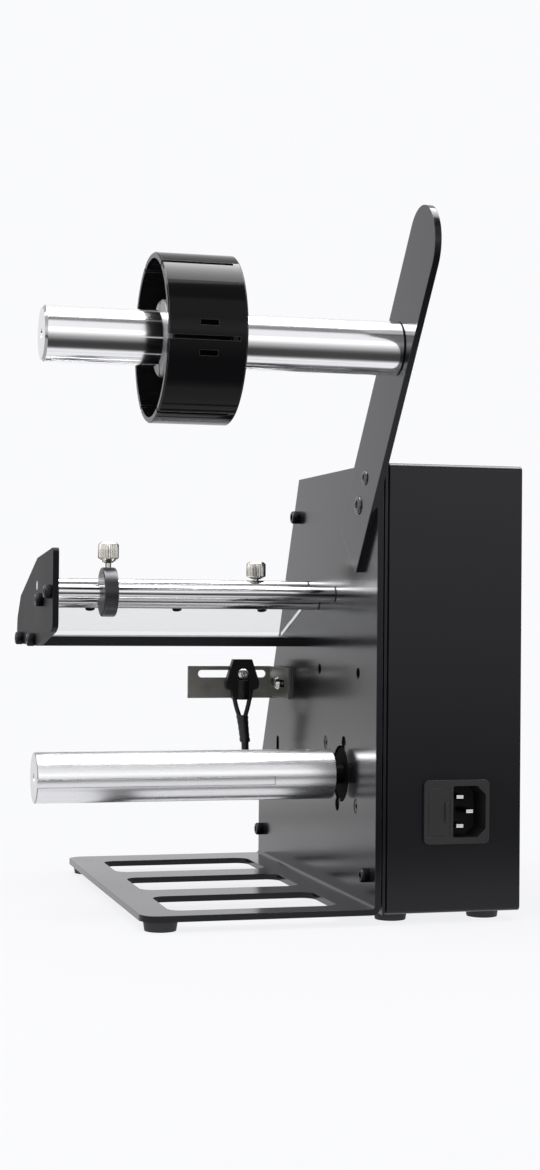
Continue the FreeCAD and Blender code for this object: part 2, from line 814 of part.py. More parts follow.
def spindle_arm():
    """Flat bar that carries the supply spindle: square at the foot, round at the top, leaning back."""
    body = new_body("spindle_arm")
    bar = new_sketch(body, "YZ_Plane", "-arm_sheet")
    rectangle(bar, "-arm_wide / 2", "0", "arm_wide / 2", "arm_reach")
    pad(body, bar, "arm_sheet")
    top = new_sketch(body, "YZ_Plane", "-arm_sheet")
    circle(top, "0", "arm_reach", "arm_wide / 2")
    pad(body, top, "arm_sheet")
    holes = new_sketch(body, "YZ_Plane", "arm_sheet")
    circle(holes, "0", "arm_screw_low", "large_screw + pass_gap")
    circle(holes, "0", "arm_screw_low + arm_screw_step", "screw_radius + pass_gap")
    circle(holes, "0", "arm_shaft", "bolt_radius + pass_gap")
    pocket(body, holes, "3 * arm_sheet")
    locate(body, "0", "arm_foot_y", "arm_foot_z", (1, 0, 0), "arm_lean")


def arm_screws():
    """Two button-head screws through the arm, the lower one a size larger."""
    labels = ("arm_screw_lower", "arm_screw_upper")
    for label, (y, z), thread in zip(labels, ARM_SCREWS, ARM_THREADS):
        group(label, [button_screw("-X", "-arm_sheet", y, z, thread, "arm_sheet + sheet")])


def supply_shaft():
    """Turned aluminium spindle, chamfered at its free end, tapped for the bolt behind the arm."""
    bore = "bolt_radius + tap_gap"
    body = turned("supply_shaft", "X", [
        ("-arm_sheet", bore),
        ("-arm_sheet", "shaft_radius - shaft_edge"),
        ("-arm_sheet - shaft_edge", "shaft_radius"),
        ("-supply_end + spindle_chamfer", "shaft_radius"),
        ("-supply_end", "shaft_radius - spindle_chamfer"),
        ("-supply_end", "centre_radius"),
        ("-supply_end + centre_deep", "0"),
        ("-arm_sheet - bolt_deep - bolt_radius / 2", "0"),
        ("-arm_sheet - bolt_deep", bore),
    ])
    locate(body, "0", "supply_y", "supply_z")
    bolt = button_screw("+X", "0", "supply_y", "supply_z", "bolt_radius", "arm_sheet + bolt_deep - 2")
    group("spindle_bolt", [bolt])


def core_bush():
    """Split bush that grips the spindle; the roll core turns on it between its two rims."""
    bore = "shaft_radius + running_gap"
    body = turned("core_bush", "X", [
        ("-bush_x", bore),
        ("-bush_x", "bush_flange - bush_edge"),
        ("-bush_x + bush_edge", "bush_flange"),
        ("-bush_x + bush_lip", "bush_flange"),
        ("-bush_x + bush_lip", "bush_radius"),
        ("-core_far + 2 * ring_wide", "bush_radius"),
        ("-core_far + 2 * ring_wide", bore),
    ])
    slit = new_sketch(body, "XY_Plane", "2 * bush_flange")
    rectangle(slit, "-bush_x - bush_lip", "-bush_slit / 2", "-bush_x + bush_slit_long", "bush_slit / 2")
    pocket(body, slit, "4 * bush_flange")
    notch = new_sketch(body, "YZ_Plane", "-bush_x + bush_lip")
    foot = "shaft_radius + notch_wall"
    polygon(notch, [("-notch_wide / 2", "bush_flange + 1"), ("0", foot),
                    ("notch_wide / 2", "bush_flange + 1")])
    polygon(notch, [("-notch_wide / 2", "-bush_flange - 1"), ("notch_wide / 2", "-bush_flange - 1"),
                    ("0", "-(%s)" % foot)])
    pocket(body, notch, "2 * bush_lip")
    groove = new_sketch(body, "YZ_Plane", "-core_far + side_gap + ring_wide + tap_gap")
    circle(groove, "0", "0", "bush_radius + ring_grip")
    circle(groove, "0", "0", "bush_radius - ring_grip")
    pocket(body, groove, "ring_wide + 2 * tap_gap")
    locate(body, "0", "supply_y", "supply_z")
    ring = cylinder("+X", "-core_far + side_gap", "supply_y", "supply_z", "bush_radius + ring_reach",
                    "ring_wide")
    hole = cylinder("+X", "-core_far", "supply_y", "supply_z", "bush_radius - ring_grip + tap_gap",
                    "3 * ring_wide")
    gap = block("-core_far", "supply_y - ring_gap / 2", "supply_z - bush_radius - ring_gap",
                "3 * ring_wide", "ring_gap", "2 * ring_gap")
    group("core_retainer", [cut(ring, [hole, gap])])


def radial_slot(sketch, angle, wide, inner, outer):
    """A bar seen along X that points outwards at an angle from the top, between two radii."""
    corners = []
    for radius, side in ((inner, "-"), (inner, "+"), (outer, "+"), (outer, "-")):
        corners.append((
            "-(%s) * sin(%s) %s %s / 2 * cos(%s)" % (radius, angle, side, wide, angle),
            "(%s) * cos(%s) %s %s / 2 * sin(%s)" % (radius, angle, side, wide, angle)))
    polygon(sketch, corners)


def roll_core():
    """Moulded drum for a 3 inch label core: slotted rim, spoked web and a hub on the bush."""
    rim_in = "core_radius - core_wall"
    hub = "bush_radius + running_gap"
    body = turned("roll_core", "X", [
        ("-core_near", rim_in),
        ("-core_near", "core_radius - core_edge"),
        ("-core_near + core_edge", "core_radius"),
        ("-core_far - core_edge", "core_radius"),
        ("-core_far", "core_radius - core_edge"),
        ("-core_far", hub),
        ("-bush_x + bush_lip + side_gap", hub),
        ("-bush_x + bush_lip + side_gap", "%s + core_wall" % hub),
        ("-core_far - core_web", "%s + core_wall" % hub),
        ("-core_far - core_web", rim_in),
    ])
    count = int(size("core_slots"))
    through = ("core_radius - 2 * core_wall", "core_radius + core_wall")
    finger = new_sketch(body, "YZ_Plane", "-core_far - core_rim")
    radial_slot(finger, "slot_turn", "core_slot", *through)
    slot = pocket(body, finger, "core_wide")
    polar(body, [slot], "X_Axis", count)
    spoke = new_sketch(body, "YZ_Plane", "-core_far + core_web")
    inner = "(bush_radius + spoke_start)"
    outer = "(core_radius - core_wall - spoke_end)"
    polygon(spoke, [
        ("-%s * sin(spoke_root)" % inner, "%s * cos(spoke_root)" % inner),
        ("%s * sin(spoke_root)" % inner, "%s * cos(spoke_root)" % inner),
        ("%s * sin(spoke_tip)" % outer, "%s * cos(spoke_tip)" % outer),
        ("0", outer),
        ("-%s * sin(spoke_tip)" % outer, "%s * cos(spoke_tip)" % outer),
    ])
    opening = pocket(body, spoke, "3 * core_web")
    polar(body, [opening], "X_Axis", count)
    latch = new_sketch(body, "YZ_Plane", "-core_near + window_start + window_wide")
    for side in "-+":
        radial_slot(latch, "(slot_turn %s window_angle)" % side, "window_tall", *through)
    window = pocket(body, latch, "window_wide")
    polar(body, [window], "X_Axis", count // 2)
    locate(body, "0", "supply_y", "supply_z", (1, 0, 0), "core_turn")


def rods():
    """Three stainless rods between the side plate and the peel unit's end plate."""
    for label, (y, z) in zip(("rod_rear", "rod_lower", "rod_front"), RODS):
        rod = cylinder("-X", "0", y, z, "rod_radius", "peel_reach")
        tools = [cylinder("-X", "1", y, z, "screw_radius + tap_gap", "tap_deep")]
        if label == "rod_front":
            rod = fuse([rod, cylinder("-X", "-peel_reach", y, z, "rod_spigot", "end_sheet")])
            for number in range(3):
                tools.append(clear_screw_shank(number, "screw_radius + tap_gap"))
            tools.append(cylinder("+Z", "-front_knob_place", y, z, "small_screw + tap_gap",
                                  "2 * rod_radius"))
        else:
            tools.append(cylinder("+X", "-peel_reach - 1", y, z, "screw_radius + tap_gap", "tap_deep"))
        item = cut(rod, tools)
        locate(item)
        keep(item, label)


def clear_screw_shank(number, radius, lift="0"):
    """Cylinder through the clear plate along its normal, into the front rod's axis."""
    item = doc.addObject("Part::Cylinder", "shank")
    bind(item, "Radius", radius)
    bind(item, "Height", "rod_radius + clear_thick + running_gap - (%s)" % lift)
    return on_clear(item, number, "rod_radius + clear_thick + running_gap")


def on_clear(item, number, below):
    """Stands an item under the front rod's axis, its own Z axis along the clear plate's normal."""
    item.Placement = FreeCAD.Placement(FreeCAD.Vector(), FreeCAD.Rotation(FreeCAD.Vector(1, 0, 0), 1))
    bind(item, "Placement.Rotation.Angle", "-clear_tilt")
    bind(item, "Placement.Base.x", "-clear_screw_first - %d * clear_screw_pitch" % number)
    bind(item, "Placement.Base.y", "front_rod_y - (%s) * sin(clear_tilt)" % below)
    bind(item, "Placement.Base.z", "front_rod_z - (%s) * cos(clear_tilt)" % below)
    return item


def clear_plate():
    """Clear acrylic plate from the front rod down to the table's front edge."""
    body = new_body("clear_plate")
    top = "-rod_radius - running_gap"
    side = new_sketch(body, "YZ_Plane", "-peel_reach + side_gap")
    rectangle(side, "-clear_behind", "%s - clear_thick" % top, "clear_run", top)
    plate = pad(body, side, "peel_reach - 2 * side_gap")
    run, middle = size("clear_run"), -size("rod_radius") - size("clear_thick") / 2
    front = edges(plate, (1, 0, 0), lambda p: near(p.y, run) and p.z > middle)
    fillet(body, plate, front, "clear_round")
    holes = new_sketch(body, "XY_Plane", "0")
    for number in range(3):
        circle(holes, "-clear_screw_first - %d * clear_screw_pitch" % number, "0", "screw_radius + pass_gap")
    pocket(body, holes, "4 * clear_thick")
    locate(body, "0", "front_rod_y", "front_rod_z", (1, 0, 0), "-clear_tilt")
    screws = []
    for number in range(3):
        shank = clear_screw_shank(number, "screw_radius", "1")
        head = doc.addObject("Part::Cone", "head")
        bind(head, "Radius1", "screw_radius * 1.2")
        bind(head, "Radius2", "low_head")
        bind(head, "Height", "clear_head_tall")
        on_clear(head, number, "rod_radius + clear_thick + running_gap + clear_head_tall")
        screws.append(fuse([shank, head]))
    group("clear_plate_screws", screws)


def end_plate():
    """Outer plate of the peel unit, with a raked top and a bevelled lower corner."""
    body = new_body("end_plate")
    rear = "rear_rod_y - end_edge"
    nose = "front_rod_y + end_far"
    outline = new_sketch(body, "YZ_Plane", "-peel_reach - end_sheet")
    polygon(outline, [
        (rear, "table_low + end_rear_rise"),
        ("%s + end_step" % rear, "table_low + end_step_rise"),
        ("front_rod_y", "table_low"),
        ("%s - nose_bevel" % nose, "table_low"),
        (nose, "table_low + nose_rise"),
        ("%s - nose_lean" % nose, "table_low + 2 * nose_rise"),
        ("%s - rake_run" % nose, "front_rod_z - rake_drop"),
        ("front_rod_y", "front_rod_z + end_over - end_fall"),
        (rear, "front_rod_z + end_over"),
    ])
    plate = pad(body, outline, "end_sheet")
    plate = fillet(body, plate, edges(plate, (1, 0, 0), lambda p: True), "end_round")
    holes = new_sketch(body, "YZ_Plane", "-peel_reach + end_sheet")
    for y, z in RODS[:2] + TABLE_END_SCREWS:
        circle(holes, y, z, "screw_radius + pass_gap")
    circle(holes, *RODS[2], "rod_spigot + running_gap")
    pocket(body, holes, "3 * end_sheet")
    locate(body)
    screws = [cap_screw("-X", "-peel_reach - end_sheet", y, z, "screw_radius", "end_sheet + screw_reach")
              for y, z in RODS[:2] + TABLE_END_SCREWS]
    group("end_plate_screws", screws)


def peel_table():
    """Flat bar across the front with a rounded edge, over which the backing paper turns."""
    body = new_body("peel_table")
    side = new_sketch(body, "YZ_Plane", "-peel_reach")
    rectangle(side, "table_near", "table_low", "table_near + table_deep", "table_top")
    bar = pad(body, side, "peel_reach")
    front = size("table_near") + size("table_deep")
    fillet(body, bar, edges(bar, (1, 0, 0), lambda p: near(p.y, front)), "table_thick / 2 - 0.1")
    inner = new_sketch(body, "YZ_Plane", "0")
    for y, z in TABLE_SCREWS:
        circle(inner, y, z, "screw_radius + tap_gap")
    pocket(body, inner, "tap_deep")
    outer = new_sketch(body, "YZ_Plane", "-peel_reach + tap_deep")
    for y, z in TABLE_END_SCREWS:
        circle(outer, y, z, "screw_radius + tap_gap")
    pocket(body, outer, "tap_deep + 3")
    locate(body)
    screws = []
    for y, z in RODS + TABLE_SCREWS:
        head = cylinder("+X", "low_web", y, z, "low_head", "sheet - low_web - 0.1")
        shank = cylinder("-X", "low_web", y, z, "screw_radius", "screw_reach")
        socket = hexagon("+X", "low_web + low_floor", y, z, "low_key", "sheet")
        screws.append(cut(fuse([head, shank]), [socket]))
    group("inner_screws", screws)


def thumbscrew(label, x, y, z, stem, depth):
    """Nickel-plated thumbscrew whose stem stands clear of a place and reaches a depth below it."""
    body = turned(label, "Z", [
        ("-%s" % depth, "0"),
        ("-%s" % depth, "small_screw"),
        (stem, "small_screw"),
        (stem, "knob_neck"),
        ("%s + knob_cone" % stem, "knob_radius - knob_edge"),
        ("%s + knob_cone + knob_edge" % stem, "knob_radius"),
        ("%s + knob_cone + knob_tall - knob_edge" % stem, "knob_radius"),
        ("%s + knob_cone + knob_tall" % stem, "knob_radius - knob_edge"),
        ("%s + knob_cone + knob_tall" % stem, "0"),
    ])
    locate(body, x, y, z)


def guide_collar():
    """Collar that slides along the rear rod as a web guide, locked by a thumbscrew."""
    body = turned("guide_collar", "X", [
        ("-collar_wide / 2", "rod_radius + running_gap"),
        ("-collar_wide / 2", "collar_radius - 2 * collar_edge"),
        ("-collar_wide / 2 + collar_edge / 2", "collar_radius - collar_edge / 2"),
        ("-collar_wide / 2 + 2 * collar_edge", "collar_radius"),
        ("collar_wide / 2 - 2 * collar_edge", "collar_radius"),
        ("collar_wide / 2 - collar_edge / 2", "collar_radius - collar_edge / 2"),
        ("collar_wide / 2", "collar_radius - 2 * collar_edge"),
        ("collar_wide / 2", "rod_radius + running_gap"),
    ])
    tap = new_sketch(body, "XY_Plane", "2 * collar_radius")
    circle(tap, "0", "0", "small_screw + tap_gap")
    pocket(body, tap, "2 * collar_radius")
    locate(body, "-collar_place", "rear_rod_y", "rear_rod_z")
    thumbscrew("guide_thumbscrew", "-collar_place", "rear_rod_y", "rear_rod_z + collar_radius",
               "knob_stem", "(collar_radius - rod_radius - side_gap)")
    thumbscrew("front_thumbscrew", "-front_knob_place", "front_rod_y",
               "front_rod_z + rod_radius + clip_fit", "front_knob_stem", "(rod_radius + clip_fit)")


def takeup():
    """Driven take-up shaft with its clip, the gearbox's output shaft and the set screw."""
    body = doc.addObject("PartDesign::Body", "takeup_bar")
    end = new_sketch(body, "YZ_Plane", "-takeup_end")
    circle(end, "takeup_y", "takeup_z", "shaft_radius")
    bar = pad(body, end, "takeup_end - takeup_gap")
    doc.recompute()
    rims = ["Edge%d" % number for number, edge in enumerate(bar.Shape.Edges, start=1)
            if isinstance(edge.Curve, Part.Circle)]
    chamfer = body.newObject("PartDesign::Chamfer", "takeup_chamfer")
    chamfer.Base = (bar, rims)
    bind(chamfer, "Size", "shaft_edge")
    doc.recompute()
    bore = cylinder("-X", "0", "takeup_y", "takeup_z", "drive_radius + tap_gap", "takeup_gap + drive_depth")
    centre = cone("+X", "-takeup_end - 0.01", "takeup_y", "takeup_z", "centre_radius", "0", "centre_deep")
    tap = cylinder("+Z", "-takeup_gap - key_place", "takeup_y", "takeup_z", "large_screw + tap_gap",
                   "2 * shaft_radius")
    groove = clip_block("clip_wide + 2 * clip_fit", "clip_deep + clip_fit", "clip_long + clip_fit")
    item = cut(body, [bore, centre, tap, groove])
    locate(item)
    keep(item, "takeup_shaft")
    drive = cylinder("-X", "drive_inside", "takeup_y", "takeup_z", "drive_radius",
                     "drive_inside + takeup_gap + drive_depth - 1")
    flat_z = "takeup_z + drive_radius - drive_flat"
    flat = block("-takeup_gap - drive_depth - 1", "takeup_y - drive_radius", flat_z,
                 "drive_depth - 2", "2 * drive_radius", "drive_radius")
    group("drive_shaft", [cut(drive, [flat])])
    screw = cylinder("+Z", "-takeup_gap - key_place", "takeup_y", flat_z, "large_screw", "key_long")
    socket = hexagon("+Z", "-takeup_gap - key_place", "takeup_y", flat_z + " + key_long / 2", "low_key",
                     "key_long")
    group("set_screw", [cut(screw, [socket])])
    strip = clip_block("clip_wide", "clip_deep", "clip_long")
    rim = cylinder("-X", "0", "takeup_y", "takeup_z", "shaft_radius", "takeup_end")
    clip = doc.addObject("Part::Common", "clip_trimmed")
    clip.Base = strip
    clip.Tool = rim
    locate(clip)
    keep(clip, "takeup_clip")


def clip_block(wide, deep, long):
    """Bar along the take-up shaft's surface, a little below the rearmost line, for the clip."""
    item = doc.addObject("Part::Box", "clip_bar")
    bind(item, "Length", "%s + 5" % long)
    bind(item, "Width", "%s + 3" % deep)
    bind(item, "Height", wide)
    item.Placement = FreeCAD.Placement(FreeCAD.Vector(), FreeCAD.Rotation(FreeCAD.Vector(1, 0, 0), 1))
    bind(item, "Placement.Rotation.Angle", "clip_angle")
    reach = "(shaft_radius + 3)"
    half = "((%s) / 2)" % wide
    bind(item, "Placement.Base.x", "-takeup_end - 5")
    bind(item, "Placement.Base.y", "takeup_y - %s * cos(clip_angle) + %s * sin(clip_angle)" % (reach, half))
    bind(item, "Placement.Base.z", "takeup_z - %s * sin(clip_angle) - %s * cos(clip_angle)" % (reach, half))
    return item


def gear_motor():
    """Gear motor behind the side plate: gearbox with ears and a boss, motor can, four screws."""
    box = cylinder("+X", "sheet", "takeup_y", "takeup_z", "gearbox_radius", "gearbox_long")
    boss = cylinder("+X", "sheet - boss_long", "takeup_y", "takeup_z", "boss_radius", "2 * boss_long")
    ears = doc.addObject("Part::Box", "ears")
    bind(ears, "Length", "ear_thick")
    bind(ears, "Width", "2 * motor_screw_circle + ear_wide")
    bind(ears, "Height", "ear_wide")
    ears.Placement = FreeCAD.Placement(FreeCAD.Vector(), FreeCAD.Rotation(FreeCAD.Vector(1, 0, 0), 1))
    bind(ears, "Placement.Rotation.Angle", "motor_screw_angle")
    bind(ears, "Placement.Base.x", "sheet")
    half = "(motor_screw_circle + ear_wide / 2)"
    bind(ears, "Placement.Base.y",
         "takeup_y - %s * cos(motor_screw_angle) + ear_wide / 2 * sin(motor_screw_angle)" % half)
    bind(ears, "Placement.Base.z",
         "takeup_z - %s * sin(motor_screw_angle) - ear_wide / 2 * cos(motor_screw_angle)" % half)
    bores = [cylinder("+X", "0", "takeup_y", "takeup_z", "drive_radius + running_gap", "drive_inside + 1")]
    places = OUTER_MOTOR_SCREWS + INNER_MOTOR_SCREWS
    for y, z in places[2:]:
        bores.append(cylinder("+X", "-1", y, z, "motor_hole - tap_gap", "sheet + 1"))
    for y, z in places:
        bores.append(cylinder("+X", "sheet - 1", y, z, "small_screw + tap_gap", "screw_reach"))
    group("gearbox", [cut(fuse([box, boss, ears]), bores)])
    can = cylinder("+X", "sheet + gearbox_long", "takeup_y", "takeup_z", "motor_radius", "motor_long")
    group("motor", [can])
    screws = []
    seats = ["sheet - motor_web"] * 2 + ["sheet"] * 2
    for (y, z), seat in zip(places, seats):
        head = cylinder("-X", seat, y, z, "motor_head", "head_tall")
        shank = cylinder("+X", seat, y, z, "small_screw", "screw_reach - 2")
        socket = hexagon("-X", seat + " - head_tall / 2", y, z, "low_key", "head_tall")
        screws.append(cut(fuse([head, shank]), [socket]))
    group("motor_screws", screws)


def sensor_bracket():
    """Bare steel angle: a long slotted strip for the sensor and a slotted flange on the side plate."""
    body = new_body("sensor_bracket")
    strip = new_sketch(body, "XZ_Plane", "-strip_y - bracket_sheet")
    rectangle(strip, "-strip_long", "strip_low", "0", "strip_low + strip_tall")
    pad(body, strip, "bracket_sheet")
    flange = new_sketch(body, "YZ_Plane", "-bracket_sheet")
    rectangle(flange, "strip_y + bracket_sheet - flange_deep", "strip_low + flange_step",
              "strip_y + bracket_sheet", "strip_low + strip_tall")
    pad(body, flange, "bracket_sheet")
    window = new_sketch(body, "XZ_Plane", "-strip_y + bracket_sheet")
    rectangle(window, "-strip_slot_start - strip_slot_long", "strip_slot_low",
              "-strip_slot_start", "strip_slot_low + strip_slot_tall")
    slot = pocket(body, window, "3 * bracket_sheet")
    low, far = size("strip_slot_low") - 0.1, 1 - size("strip_long")
    high = low + size("strip_slot_tall") + 0.2
    ends = edges(slot, (0, 1, 0), lambda p: far < p.x < -1 and low < p.z < high)
    fillet(body, slot, ends, "strip_slot_tall / 2 - 0.05")
    window = new_sketch(body, "YZ_Plane", "bracket_sheet")
    start = "strip_y + bracket_sheet - flange_deep + flange_slot_inset"
    rectangle(window, start, "flange_slot_z - flange_slot_tall / 2",
              "%s + flange_slot_long" % start, "flange_slot_z + flange_slot_tall / 2")
    slot = pocket(body, window, "3 * bracket_sheet")
    low = size("flange_slot_z") - size("flange_slot_tall")
    high = low + 2 * size("flange_slot_tall")
    ends = edges(slot, (1, 0, 0), lambda p: p.y < size("strip_y") - 1 and low < p.z < high)
    fillet(body, slot, ends, "flange_slot_tall / 2 - 0.05")
    locate(body)
    head = cone("-X", "-bracket_sheet", "flange_screw_y", "flange_slot_z",
                "screw_radius * 1.8", "screw_radius * 1.3", "head_tall")
    shank = cylinder("+X", "-bracket_sheet", "flange_screw_y", "flange_slot_z", "screw_radius",
                     "bracket_sheet + sheet")
    group("bracket_screw", [cross_cut(fuse([head, shank]), "-X", "-bracket_sheet - head_tall / 2",
                                      "flange_screw_y", "flange_slot_z")])


ARMS = [("2 * cross_half", "cross_wide"), ("cross_wide", "2 * cross_half")]


def cross_cut(item, way, x, y, z):
    """Cuts a cross recess for a driver into a screw's head."""
    if way == "-X":
        arms = [block("%s - head_tall" % x, "%s - %s / 2" % (y, deep), "%s - %s / 2" % (z, tall),
                      "head_tall", deep, tall) for deep, tall in ARMS]
    else:
        arms = [block("%s - %s / 2" % (x, wide), "%s - head_tall" % y, "%s - %s / 2" % (z, tall),
                      wide, "head_tall", tall) for wide, tall in ARMS]
    return cut(item, arms)


def sensor():
    """Gap sensor: a faceted nylon head with a cable boss, screwed through the strip's slot."""
    body = new_body("sensor_head")
    face = new_sketch(body, "XZ_Plane", "-strip_y")
    polygon(face, [
        ("-sensor_half", "sensor_low"), ("sensor_half", "sensor_low"),
        ("waist_half", "sensor_low + waist_rise"), ("ear_root", "sensor_low + ear_rise"),
        ("ear_half", "sensor_low + ear_top"), ("sensor_half", "sensor_top"),
        ("-sensor_half", "sensor_top"), ("-ear_half", "sensor_low + ear_top"),
        ("-ear_root", "sensor_low + ear_rise"), ("-waist_half", "sensor_low + waist_rise"),
    ])
    pad(body, face, "sensor_deep")
    boss = new_sketch(body, "XY_Plane", "sensor_low")
    circle(boss, "0", "strip_y - sensor_deep", "sensor_boss")
    pad(body, boss, "strip_slot_z - sensor_low - sensor_boss")
    hole = new_sketch(body, "XZ_Plane", "-strip_y - 5")
    circle(hole, "0", "strip_slot_z", "small_screw + pass_gap")
    doc.recompute()
    before = body.Shape.Volume
    bore = body.newObject("PartDesign::Pocket", "sensor_bore")
    bore.Profile = hole
    bore.Reversed = True
    bind(bore, "Length", "sensor_deep + 15")
    doc.recompute()
    if body.Shape.Volume >= before:
        raise ValueError("the sensor's screw hole cuts nothing")
    locate(body, "-sensor_x")
    head = cone("-Y", "-sensor_x", "strip_y - sensor_deep", "strip_slot_z",
                "small_screw * 1.9", "small_screw * 1.4", "small_screw * 1.2")
    shank = cylinder("+Y", "-sensor_x", "strip_y - sensor_deep", "strip_slot_z", "small_screw",
                     "sensor_deep + bracket_sheet + 4")
    screw = cross_cut(fuse([head, shank]), "-Y", "-sensor_x",
                      "strip_y - sensor_deep - small_screw * 0.6", "strip_slot_z")
    group("sensor_screw", [screw])
    nut = hexagon("+Y", "-sensor_x", "strip_y + bracket_sheet", "strip_slot_z",
                  "small_screw * 2.15", "nut_tall")
    hole = cylinder("+Y", "-sensor_x", "strip_y", "strip_slot_z", "small_screw + tap_gap", "screw_reach")
    group("sensor_nut", [cut(nut, [hole])])


def tube(points, radius):
    """A round cable along straight runs joined by tangent arcs, each as large as its runs allow."""
    points = [FreeCAD.Vector(*p) for p in points]
    parts = []
    start = points[0]
    for before, corner, after in zip(points, points[1:], points[2:]):
        run_in = (corner - before).normalize()
        run_out = (after - corner).normalize()
        turn = run_in.getAngle(run_out)
        shorter = min((corner - before).Length, (after - corner).Length)
        reach = 0.45 * shorter
        bend = reach / math.tan(turn / 2)
        print("cable bend radius %.1f mm" % bend)
        enter = corner - run_in * reach
        leave = corner + run_out * reach
        inward = (run_out - run_in).normalize()
        middle = corner + inward * (bend / math.cos(turn / 2) - bend)
        parts.append(Part.LineSegment(start, enter).toShape())
        parts.append(Part.Arc(enter, middle, leave).toShape())
        start = leave
    parts.append(Part.LineSegment(start, points[-1]).toShape())
    path = Part.Wire(parts)
    first = (points[1] - points[0]).normalize()
    ring = Part.Wire([Part.makeCircle(radius, points[0], first)])
    solid = path.makePipeShell([ring], True, False)
    return solid


def cable_piece(label, shape):
    item = doc.addObject("Part::Feature", label)
    item.Shape = shape
    item.Placement.Base = item.Placement.Base + FreeCAD.Vector(-size("centre_x"), -size("centre_y"), 0)
    return keep(item, label)


def sensor_cable():
    """The sensor's cable in three lengths: two leads and a sleeve, the middle, and the tail."""
    x, y = -size("sensor_x"), size("strip_y") - size("sensor_deep") + size("cable_offset")
    radius, lead, gap = size("cable_radius"), size("leg_radius"), size("side_gap")
    low, tail_z, slot_y = size("sensor_low"), size("cable_z"), size("cable_slot_y")
    sleeve_z = low - size("sleeve_drop")
    middle_z = sleeve_z - size("sleeve_long")
    turn_z = middle_z - size("middle_long")
    leads = []
    for side in (-1, 1):
        out, close = side * size("leg_spread"), side * size("leg_close")
        leads.append(tube([(x + out, y + 1, low), (x + out, y + 1, low - 4.5),
                           (x + close, y, sleeve_z - 2.5), (x + close, y, sleeve_z - 7.5)], lead))
    sleeve = Part.makeCylinder(radius, size("sleeve_long"), FreeCAD.Vector(x, y, middle_z))
    cable_piece("sensor_cable_leads", leads[0].fuse([leads[1], sleeve]))
    length = size("middle_long") - gap
    middle = Part.makeCylinder(radius, length, FreeCAD.Vector(x, y, turn_z))
    cable_piece("sensor_cable_middle", middle)
    route = [(x, y, turn_z - gap), (x, y, tail_z + 6.6), (x + 6, slot_y + 6.5, tail_z - 1),
             (x + 15, slot_y, tail_z), (size("sheet") + size("gland_long"), slot_y, tail_z)]
    cable_piece("sensor_cable_tail", tube(route, radius))
    clip = block("sheet", "cable_slot_y - gland_deep / 2", "cable_z - gland_tall / 2",
                 "gland_long", "gland_deep", "gland_tall")
    bore = cylinder("+X", "0", "cable_slot_y", "cable_z", "cable_radius + running_gap", "2 * gland_long")
    group("cable_clip", [cut(clip, [bore])])


def inlet():
    """Mains inlet with a fuse drawer beside its socket, three pins and the fuse."""
    flange = block("inlet_x", "-inlet_flange", "inlet_low", "inlet_wide", "inlet_flange", "inlet_tall")
    inside = "(inlet_rim + clip_fit)"
    housing = block("inlet_x + %s" % inside, "0", "inlet_low + %s" % inside,
                    "inlet_wide - 2 * %s" % inside, "inlet_deep", "inlet_tall - 2 * %s" % inside)
    right = "inlet_x + inlet_wide - socket_rim"
    socket = doc.addObject("PartDesign::Body", "socket_shape")
    sketch = new_sketch(socket, "XZ_Plane", "-socket_deep + inlet_flange")
    low = "inlet_low + (inlet_tall - socket_tall) / 2"
    high = "inlet_low + (inlet_tall + socket_tall) / 2"
    polygon(sketch, [
        ("%s - socket_wide" % right, low), ("%s - socket_chamfer" % right, low),
        (right, "%s + socket_chamfer" % low), (right, "%s - socket_chamfer" % high),
        ("%s - socket_chamfer" % right, high), ("%s - socket_wide" % right, high),
    ])
    pad(socket, sketch, "socket_deep + 5")
    left = "inlet_x + drawer_inset"
    floor = "inlet_low + (inlet_tall - drawer_tall) / 2"
    bay = block("%s - clip_fit" % left, "-inlet_flange - 1", "%s - clip_fit" % floor,
                "drawer_wide + 2 * clip_fit", "drawer_deep + 2", "drawer_tall + 2 * clip_fit")
    item = cut(fuse([flange, housing]), [socket, bay])
    locate(item)
    keep(item, "mains_inlet")
    middle = "inlet_low + inlet_tall / 2"
    pins = []
    for x, z in (("pin_far", "- pin_spread"), ("pin_far", "+ pin_spread"), ("pin_near", "")):
        pins.append(block("%s - %s - pin_wide / 2" % (right, x), "-inlet_flange + 2",
                          "%s %s - pin_thick / 2" % (middle, z), "pin_wide", "socket_deep - 2", "pin_thick"))
    group("inlet_pins", pins)
    face = block(left, "-inlet_flange", floor, "drawer_wide", "drawer_face", "drawer_tall")
    tray = block("%s + drawer_wall" % left, "-inlet_flange + drawer_face", "%s + drawer_wall / 2" % floor,
                 "drawer_wide - 2 * drawer_wall", "drawer_deep - 3", "drawer_tall - drawer_wall")
    finger = block("%s + drawer_wide - 1.5 * grip_wide" % left, "-inlet_flange - grip_out",
                   "%s + drawer_tall * 0.3" % floor, "grip_wide", "grip_out + drawer_face / 2",
                   "drawer_tall * 0.4")
    trough = block("%s + 2 * drawer_wall" % left, "-inlet_flange + 2 * drawer_face",
                   "%s + (drawer_tall - fuse_long) / 2 - 0.1" % floor, "drawer_wide",
                   "2 * fuse_radius + 0.2", "fuse_long + 0.2")
    item = cut(fuse([face, tray, finger]), [trough])
    locate(item)
    keep(item, "fuse_drawer")
    group("fuse", [cylinder("+Z", "%s + drawer_wide / 2" % left,
                            "-inlet_flange + 2 * drawer_face + fuse_radius + 0.1",
                            "%s + (drawer_tall - fuse_long) / 2" % floor, "fuse_radius", "fuse_long")])


